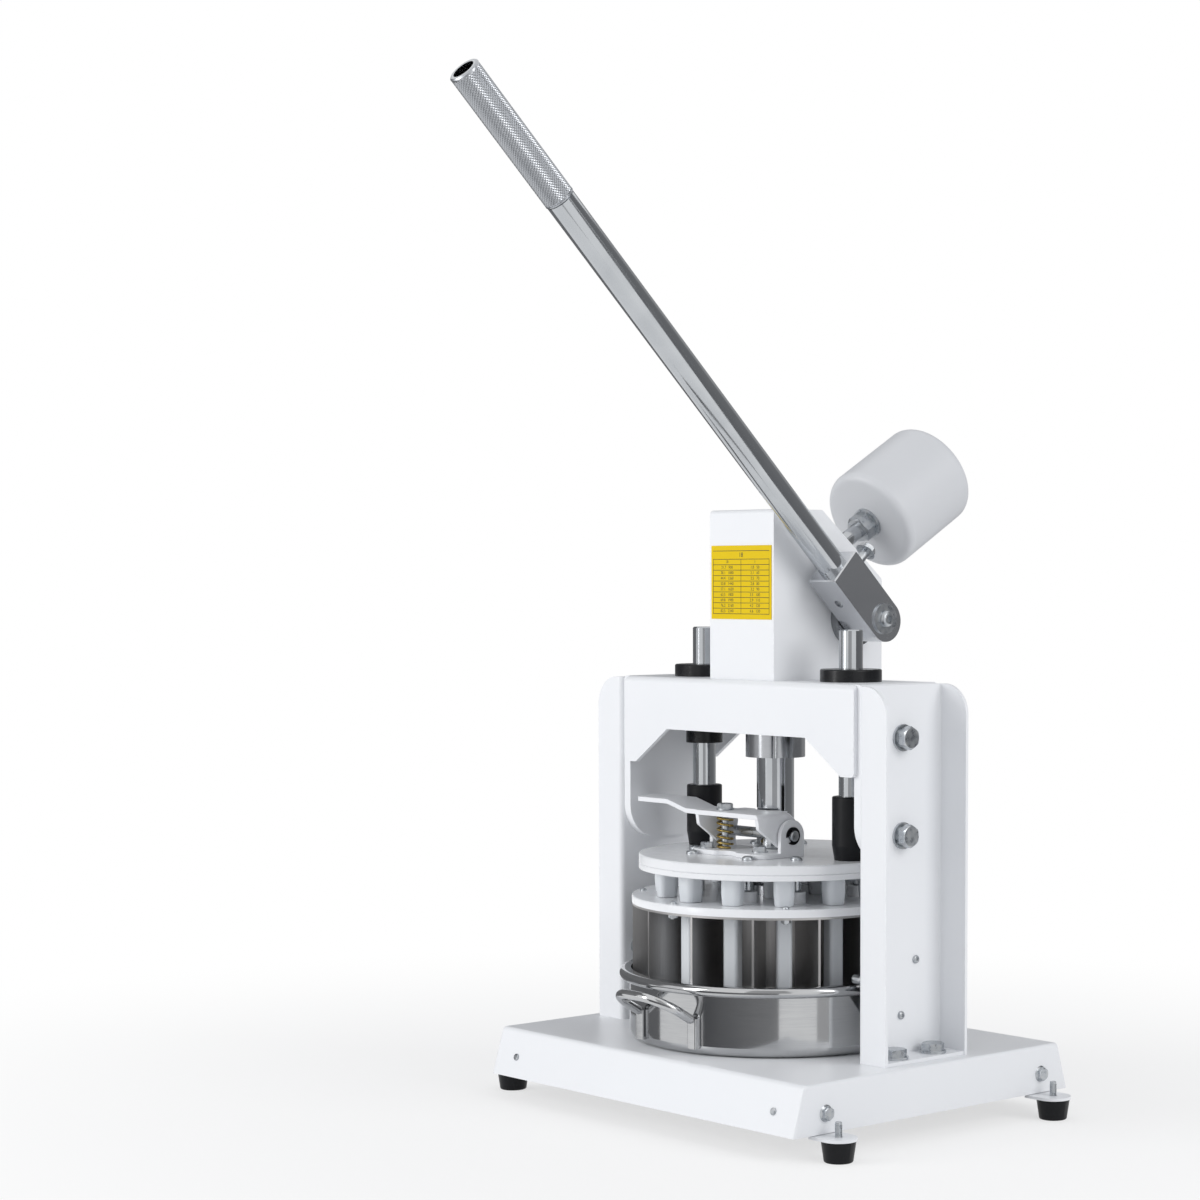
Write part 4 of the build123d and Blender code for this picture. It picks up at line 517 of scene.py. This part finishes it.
def grip_tree():
    """A diamond knurl on a sleeve."""
    tree, given, out = new_tree("knurled_grip", {**relief_sizes, "Start": FLOAT, "Finish": FINISH})
    sizes = {label: given[label] for label in relief_sizes}
    diamonds = {**sizes, "Diamond": 1.0, "Runout": knurl_runout}
    knurl = add(tree, "GeometryNodeGroup", diamonds, node_tree=relief).outputs[0]
    lift = add(tree, VECTOR, {2: given["Start"]}).outputs[0]
    moved = add(tree, MOVE, {"Geometry": knurl, "Translation": lift}).outputs[0]
    both = add(tree, JOIN, {0: (given["Geometry"], moved)}).outputs[0]
    close_tree(tree, given, out, both)
    return tree


def handle_matrix(offset_x):
    """Places a piece made about Z on the lever's handle axis."""
    run = Vector((0, -math.cos(lever_angle), math.sin(lever_angle)))
    side = Vector((1, 0, 0))
    across = run.cross(side)
    turn = Matrix((side, across, run)).transposed().to_4x4()
    return Matrix.Translation(lever_pivot + side * offset_x * MM) @ turn


def knurled_grip():
    """Sleeve with plain ends and a diamond knurl between them."""
    low = handle_reach - grip_length
    knurl_low = low + grip_band
    knurl_high = handle_reach - grip_band
    floor = grip_radius - knurl_depth - sleeve_under_knurl
    sleeve = closed_turning([
        (grip_bore, low), (grip_radius - grip_edge, low), (grip_radius, low + grip_edge),
        (grip_radius, knurl_low), (floor, knurl_low), (floor, knurl_high), (grip_radius, knurl_high),
        (grip_radius, handle_reach - grip_edge), (grip_radius - grip_edge, handle_reach),
        (grip_bore, handle_reach)], grip_sides)
    length = grip_length - 2 * grip_band
    rows = 2 * round(length / knurl_row / 2)
    mesh = grown(grip_tree(), sleeve, {
        "Around": 2 * knurl_count, "Rows": rows, "Root radius": (grip_radius - knurl_depth) * MM,
        "Depth": knurl_depth * MM, "Length": length * MM, "Start": knurl_low * MM,
        "Finish": finishes["knurl"]})
    mesh.transform(handle_matrix(block_middle))
    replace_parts(placed("knurled_grip", mesh, "lever", "knurl"), "handle_grip")


knurled_grip()

# Threaded studs that carry the rubber feet
foot_x = 207.0
foot_y = 125.0
stud_low = 8.0
stud_top = 31.5
stud_radius = 3.0
stud_tip = 0.5
stud_sides = 24
thread_pitch = 1.0
thread_depth = 0.4
thread_runout = 0.06
core_over_root = 1.02


def stud_tree():
    """A threaded stud with a chamfered top at each point."""
    tree, given, out = new_tree("threaded_studs", {
        **relief_sizes, "Pitch": FLOAT, "Tip": FLOAT, "Finish": FINISH})
    sizes = {label: given[label] for label in relief_sizes}
    helix = {**sizes, "Lead": given["Pitch"], "Runout": thread_runout}
    thread = add(tree, "GeometryNodeGroup", helix, node_tree=relief).outputs[0]
    full = add(tree, MATH, {0: given["Length"], 1: given["Pitch"]}, operation="ADD").outputs[0]
    body = add(tree, MATH, {0: given["Root radius"], 1: core_over_root}, operation="MULTIPLY").outputs[0]
    point = add(tree, MATH, {0: body, 1: given["Tip"]}, operation="SUBTRACT").outputs[0]
    half = add(tree, MATH, {0: full, 1: 0.5}, operation="MULTIPLY").outputs[0]
    bar = {"Vertices": given["Around"], "Radius": body, "Depth": full}
    core = add(tree, "GeometryNodeMeshCylinder", bar).outputs[0]
    raise_core = add(tree, VECTOR, {2: half}).outputs[0]
    core = add(tree, MOVE, {"Geometry": core, "Translation": raise_core}).outputs[0]
    cone = {"Vertices": given["Around"], "Radius Top": point, "Radius Bottom": body, "Depth": given["Tip"]}
    tip = add(tree, "GeometryNodeMeshCone", cone).outputs[0]
    raise_tip = add(tree, VECTOR, {2: full}).outputs[0]
    tip = add(tree, MOVE, {"Geometry": tip, "Translation": raise_tip}).outputs[0]
    stud = add(tree, JOIN, {0: (thread, core, tip)}).outputs[0]
    copies = add(tree, COPIES, {"Points": given["Geometry"], "Instance": stud}).outputs[0]
    close_tree(tree, given, out, copies)
    return tree


def foot_studs():
    """One stud in each foot, with its thread."""
    spots = [(sx * foot_x * MM, shaft_axis.y + sy * foot_y * MM, stud_low * MM)
             for sx in (-1, 1) for sy in (-1, 1)]
    points = bpy.data.meshes.new("stud_places")
    points.from_pydata(spots, [], [])
    length = stud_top - stud_low - stud_tip - thread_pitch
    mesh = grown(stud_tree(), points, {
        "Around": stud_sides, "Rows": 2 * round(length / thread_pitch),
        "Root radius": (stud_radius - thread_depth) * MM, "Depth": thread_depth * MM, "Length": length * MM,
        "Pitch": thread_pitch * MM, "Tip": stud_tip * MM, "Finish": finishes["zinc"]})
    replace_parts(placed("threaded_studs", mesh, "frame", "zinc"), "foot_studs")


foot_studs()

# Latch spring
spring_turns = 6.0
spring_wire = 2.0
coil_steps = 40
wire_sides = 14
closed_ends = 0.55


def spring_tree():
    """A coil whose turns lie closer at both ends."""
    tree, given, out = new_tree("latch_spring", {
        "Turns": FLOAT, "Radius": FLOAT, "Wire": FLOAT, "Height": FLOAT, "Closed ends": FLOAT,
        "Finish": FINISH})
    coil = add(tree, "GeometryNodeCurveSpiral", {
        "Resolution": coil_steps, "Rotations": given["Turns"], "Start Radius": given["Radius"],
        "End Radius": given["Radius"], "Height": given["Height"]}).outputs[0]
    place = add(tree, "GeometryNodeInputPosition").outputs[0]
    split = add(tree, "ShaderNodeSeparateXYZ", {0: place}).outputs
    share = add(tree, MATH, {0: split[2], 1: given["Height"]}, operation="DIVIDE").outputs[0]
    eased = add(tree, RANGE, {"Value": share}, interpolation_type="SMOOTHSTEP").outputs[0]
    shares = {FACTOR: given["Closed ends"], VALUE_A: share, VALUE_B: eased}
    mixed = add(tree, MIX, shares, data_type="FLOAT").outputs[0]
    height = add(tree, MATH, {0: mixed, 1: given["Height"]}, operation="MULTIPLY").outputs[0]
    spot = add(tree, VECTOR, {0: split[0], 1: split[1], 2: height}).outputs[0]
    coil = add(tree, "GeometryNodeSetPosition", {"Geometry": coil, "Position": spot}).outputs[0]
    wire = {"Resolution": wire_sides, "Radius": given["Wire"]}
    ring = add(tree, "GeometryNodeCurvePrimitiveCircle", wire).outputs[0]
    swept = {"Curve": coil, "Profile Curve": ring, "Fill Caps": True}
    close_tree(tree, given, out, add(tree, "GeometryNodeCurveToMesh", swept).outputs[0])
    return tree


def latch_spring():
    """Compression spring with closed ends."""
    low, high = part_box("latch_spring")
    reach = high - low
    mesh = grown(spring_tree(), bpy.data.meshes.new("spring_seat"), {
        "Turns": spring_turns, "Radius": (reach.x - spring_wire * MM) / 2, "Wire": spring_wire / 2 * MM,
        "Height": reach.z - spring_wire * MM, "Closed ends": closed_ends, "Finish": finishes["yellow_zinc"]})
    seat = Vector(((low.x + high.x) / 2, (low.y + high.y) / 2, low.z))
    mesh.transform(Matrix.Translation(seat + Vector((0, 0, spring_wire / 2 * MM))))
    for face in mesh.polygons:
        face.use_smooth = True
    piece = placed("wound_spring", mesh, "press_head", "yellow_zinc")
    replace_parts(piece, "latch_spring")
    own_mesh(piece)


latch_spring()

# Printed rules and numbers on the yellow chart
chart_rows = 10
chart_uprights = 3
chart_table = 46.0
chart_title = 7.0
chart_width = 70.0
chart_foot = 4.5
rule_line = 0.45
figure_size = 3.6
title_size = 5.4
ink_thickness = 0.04
portions = 18
smallest_portion = 50
portion_step = 10
grams_per_ounce = 28.35


def rule_tree():
    """Level rules for the rows and the title, and uprights beside and between the columns."""
    tree, given, out = new_tree("chart_rules", {
        "Width": FLOAT, "Table height": FLOAT, "Rows": COUNT, "Uprights": COUNT, "Title": FLOAT,
        "Line": FLOAT, "Ink": FLOAT, "Finish": FINISH})
    pitch = add(tree, MATH, {0: given["Table height"], 1: given["Rows"]}, operation="DIVIDE").outputs[0]
    levels = add(tree, MATH, {0: given["Rows"], 1: 1.0}, operation="ADD").outputs[0]
    step = add(tree, VECTOR, {2: pitch}).outputs[0]
    rows = add(tree, LINE, {"Count": levels, "Offset": step}).outputs[0]
    top = add(tree, MATH, {0: given["Table height"], 1: given["Title"]}, operation="ADD").outputs[0]
    crown = add(tree, VECTOR, {2: top}).outputs[0]
    lone = add(tree, LINE, {"Count": 1, "Start Location": crown}).outputs[0]
    heights = add(tree, JOIN, {0: (rows, lone)}).outputs[0]
    long = add(tree, MATH, {0: given["Width"], 1: given["Line"]}, operation="ADD").outputs[0]
    bar = add(tree, VECTOR, {0: long, 1: given["Ink"], 2: given["Line"]}).outputs[0]
    bar = add(tree, CUBE, {"Size": bar}).outputs[0]
    level = add(tree, COPIES, {"Points": heights, "Instance": bar}).outputs[0]
    half = add(tree, MATH, {0: given["Width"], 1: 0.5}, operation="MULTIPLY").outputs[0]
    back = add(tree, MATH, {0: half, 1: -1.0}, operation="MULTIPLY").outputs[0]
    middle = add(tree, MATH, {0: given["Table height"], 1: 0.5}, operation="MULTIPLY").outputs[0]
    start = add(tree, VECTOR, {0: back, 2: middle}).outputs[0]
    across = add(tree, VECTOR, {0: half}).outputs[0]
    places = {"Count": given["Uprights"], "Start Location": start, "Offset": across}
    uprights = add(tree, LINE, places).outputs[0]
    post = add(tree, VECTOR, {0: given["Line"], 1: given["Ink"], 2: given["Table height"]}).outputs[0]
    post = add(tree, CUBE, {"Size": post}).outputs[0]
    upright = add(tree, COPIES, {"Points": uprights, "Instance": post}).outputs[0]
    printed = add(tree, JOIN, {0: (given["Geometry"], level, upright)}).outputs[0]
    close_tree(tree, given, out, printed)
    return tree


def chart_figures():
    """Whole and single weights in ounces and grams, row by row, as one mesh of flat figures."""
    pitch = chart_table / chart_rows
    entries = [(str(portions), 0.0, chart_table + chart_title / 2, title_size)]
    for column, share in ((-1, portions), (1, 1)):
        x = column * chart_width / 4
        entries.append((str(share), x, chart_table - pitch / 2, figure_size))
        for row in range(chart_rows - 1):
            weight = (smallest_portion + portion_step * row) * share
            figures = f"{weight / grams_per_ounce:.1f}   {weight}"
            entries.append((figures, x, chart_table - pitch * (row + 1.5), figure_size))
    work = bmesh.new()
    upright = Matrix.Rotation(math.pi / 2, 4, "X")
    for figures, x, z, size in entries:
        curve = bpy.data.curves.new("figures", "FONT")
        curve.body = figures
        curve.size = size * MM
        curve.align_x = "CENTER"
        curve.align_y = "CENTER"
        carrier = bpy.data.objects.new("figures", curve)
        bpy.context.scene.collection.objects.link(carrier)
        mesh = plain_mesh(carrier)
        mesh.transform(Matrix.Translation((x * MM, -ink_thickness / 2 * MM, z * MM)) @ upright)
        work.from_mesh(mesh)
    merged = bpy.data.meshes.new("chart_figures")
    work.to_mesh(merged)
    work.free()
    return merged


def chart_print():
    """Rules and figures in front of the yellow sheet."""
    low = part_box("division_chart")[0]
    mesh = grown(rule_tree(), chart_figures(), {
        "Width": chart_width * MM, "Table height": chart_table * MM, "Rows": chart_rows,
        "Uprights": chart_uprights, "Title": chart_title * MM, "Line": rule_line * MM,
        "Ink": ink_thickness * MM, "Finish": finishes["print"]})
    mesh.transform(Matrix.Translation((0, low.y - ink_thickness / 2 * MM, low.z + chart_foot * MM)))
    placed("chart_print", mesh, "frame", "print")


chart_print()

# Edges rounded as sheet, plate and plastic have them: node, width, body and slot
for name, width, body, slot in (
        ("crosshead", 0.6, "frame", "white_paint"),
        ("left_column", 0.6, "frame", "white_paint"),
        ("right_column", 0.6, "frame", "white_paint"),
        ("tower_housing", 0.5, "frame", "white_paint"),
        ("foot_brackets", 0.4, "frame", "white_paint"),
        ("latch_lever", 0.6, "latch", "white_paint"),
        ("latch_bracket", 0.6, "press_head", "white_paint"),
        ("lever_block", 0.5, "lever", "polished_steel"),
        ("knife_plate", 0.5, "ram", "white_alloy"),
        ("outer_pads", 0.6, "press_head", "white_plastic"),
        ("inner_pads", 0.6, "press_head", "white_plastic")):
    softened(name, width, body)

# Floor and surroundings
floor_reach = 12.0
floor_colour = "#F4F4F4"
fade_from = 0.25
fade_to = 1.1
white_share_near = 0.62
world_colour = "#F6F8FC"
world_strength = 0.56


def white_to_the_eye(tree):
    """1 where the eye sees, straight, in a mirror or through glass, and 0 for rays that only light."""
    ray = add(tree, "ShaderNodeLightPath").outputs
    direct = {0: ray["Is Camera Ray"], 1: ray["Is Glossy Ray"]}
    seen = add(tree, MATH, direct, operation="MAXIMUM").outputs[0]
    return add(tree, MATH, {0: seen, 1: ray["Is Transmission Ray"]}, operation="MAXIMUM").outputs[0]


def pale_floor():
    """Pale floor that fades to white away from the machine and keeps its shadow."""
    mesh = bpy.data.meshes.new("floor")
    corners = [(x * floor_reach, y * floor_reach, 0) for x, y in ((-1, -1), (1, -1), (1, 1), (-1, 1))]
    mesh.from_pydata(corners, [], [(0, 1, 2, 3)])
    piece = bpy.data.objects.new("floor", mesh)
    bpy.context.scene.collection.objects.link(piece)
    material, tree, place = new_finish("pale_floor")
    away = add(tree, "ShaderNodeVectorMath", {0: place}, operation="LENGTH").outputs["Value"]
    fading = {"Value": away, "From Min": fade_from, "From Max": fade_to, **between(white_share_near, 1.0)}
    fade = add(tree, RANGE, fading, interpolation_type="SMOOTHSTEP").outputs[0]
    share = add(tree, MATH, {0: white_to_the_eye(tree), 1: fade}, operation="MULTIPLY").outputs[0]
    matt = add(tree, "ShaderNodeBsdfDiffuse", {"Color": linear(floor_colour)}).outputs[0]
    white = add(tree, "ShaderNodeEmission", {"Strength": 1.0}).outputs[0]
    mixed = add(tree, "ShaderNodeMixShader", {0: share, 1: matt, 2: white}).outputs[0]
    add(tree, "ShaderNodeOutputMaterial", {"Surface": mixed})
    mesh.materials.append(material)


def studio_world():
    """Even white surroundings: white where they are seen, softer where they light the machine."""
    world = bpy.data.worlds.new("white_studio")
    bpy.context.scene.world = world
    tree = empty_tree(world)
    soft = add(tree, "ShaderNodeBackground", {"Color": linear(world_colour), "Strength": world_strength})
    white = add(tree, "ShaderNodeBackground", {"Color": linear("#FFFFFF"), "Strength": 1.0})
    sides = {0: white_to_the_eye(tree), 1: soft.outputs[0], 2: white.outputs[0]}
    mixed = add(tree, "ShaderNodeMixShader", sides).outputs[0]
    add(tree, "ShaderNodeOutputWorld", {"Surface": mixed})


# Camera at the photograph's place
camera_eye = Vector((1.6975, shaft_axis.y - 1.5719, 0.4501))
camera_aim = Vector((-0.0068, shaft_axis.y, 0.3046))
camera_lens = 81.33
camera_sensor = 36.0
camera_shift_x = -0.1417
camera_shift_y = 0.125
camera_end = 40.0


def facing(place, aim):
    """The turn that points a camera or a lamp from its place at an aim."""
    return (Vector(aim) - Vector(place)).to_track_quat("-Z", "Y").to_euler()


def studio_camera():
    """Camera with the photograph's framing."""
    data = bpy.data.cameras.new("camera")
    data.lens = camera_lens
    data.sensor_width = camera_sensor
    data.shift_x = camera_shift_x
    data.shift_y = camera_shift_y
    data.clip_end = camera_end
    camera = bpy.data.objects.new("camera", data)
    bpy.context.scene.collection.objects.link(camera)
    camera.location = camera_eye
    camera.rotation_euler = facing(camera_eye, camera_aim)
    bpy.context.scene.camera = camera


# Dark cards round the shaft that paint dark reflections into the metal, low ones for the pan and high ones
# for the bars: radius and heights
near_ring = (0.33, (0.0, 0.13))
far_ring = (0.75, (0.13, 1.2))
card_steps = 24
# Colour of the painted dark reflections
painted_reflection_colour = "#57585B"


def dark_card(name, ring, angles, shades):
    """A dark curved card that only bright metal shows: a painted dark reflection, unseen by the eye and
    giving no light or shadow. Angles go to the right from the camera's side.
    """
    toward = (camera_eye - camera_aim).xy.normalized()
    right = Vector((-toward.y, toward.x))
    radius, (low, high) = ring
    first, last = angles
    dark_first, dark_last = shades
    verts = []
    darkness = []
    for k in range(card_steps + 1):
        angle = math.radians(first + (last - first) * k / card_steps)
        spot = toward * math.cos(angle) * radius + right * math.sin(angle) * radius
        verts += [(spot.x, spot.y + shaft_axis.y, low), (spot.x, spot.y + shaft_axis.y, high)]
        darkness += [dark_first + (dark_last - dark_first) * k / card_steps] * 2
    faces = [(2 * k, 2 * k + 2, 2 * k + 3, 2 * k + 1) for k in range(card_steps)]
    mesh = bpy.data.meshes.new(name)
    mesh.from_pydata(verts, [], faces)
    mesh.attributes.new("shade", "FLOAT", "POINT").data.foreach_set("value", darkness)
    card = bpy.data.objects.new(name, mesh)
    bpy.context.scene.collection.objects.link(card)
    material = bpy.data.materials.new(name)
    tree = empty_tree(material)
    share = add(tree, "ShaderNodeAttribute", attribute_name="shade").outputs["Fac"]
    clear = add(tree, "ShaderNodeBsdfTransparent").outputs[0]
    # Painted reflection: a dark glow, faded along the arc by the shade share of each point
    dark = add(tree, "ShaderNodeEmission", {"Color": linear(painted_reflection_colour), "Strength": 1.0}).outputs[0]
    mixed = add(tree, "ShaderNodeMixShader", {0: share, 1: clear, 2: dark}).outputs[0]
    add(tree, "ShaderNodeOutputMaterial", {"Surface": mixed})
    mesh.materials.append(material)
    card.visible_camera = False
    card.visible_diffuse = False
    card.visible_shadow = False
    card.visible_transmission = False


# Soft lights
light_aim = (0.0, shaft_axis.y, 0.3)
light_size = 1.6
key_place = (-1.1, -2.2, 0.95)
key_watts = 34
fill_place = (2.4, 0.6, 1.5)
fill_watts = 27


def soft_box(name, place, watts):
    """A square soft light that faces the machine."""
    data = bpy.data.lights.new(name, "AREA")
    data.shape = "SQUARE"
    data.size = light_size
    data.energy = watts
    lamp = bpy.data.objects.new(name, data)
    bpy.context.scene.collection.objects.link(lamp)
    lamp.location = place
    lamp.rotation_euler = facing(place, light_aim)


pale_floor()
studio_world()
studio_camera()
# Painted dark reflections, each over its own arc and fading from one shade to the next
for name, ring, angles, shades in (
        ("near_card_left", near_ring, (-158, -85), (0.9, 0.9)),
        ("near_card_front", near_ring, (-48, 2), (1.0, 0.75)),
        ("near_card_right", near_ring, (26, 44), (0.5, 0.5)),
        ("far_card_left", far_ring, (-180, -64), (0.9, 0.85)),
        ("far_card_front", far_ring, (-20, 10), (0.55, 0.55)),
        ("far_card_right", far_ring, (47, 120), (0.9, 0.85)),
        ("far_card_rear", far_ring, (120, 180), (0.7, 0.7))):
    dark_card(name, ring, angles, shades)
soft_box("key_light", key_place, key_watts)
soft_box("fill_light", fill_place, fill_watts)
bpy.context.scene.view_settings.view_transform = "Standard"
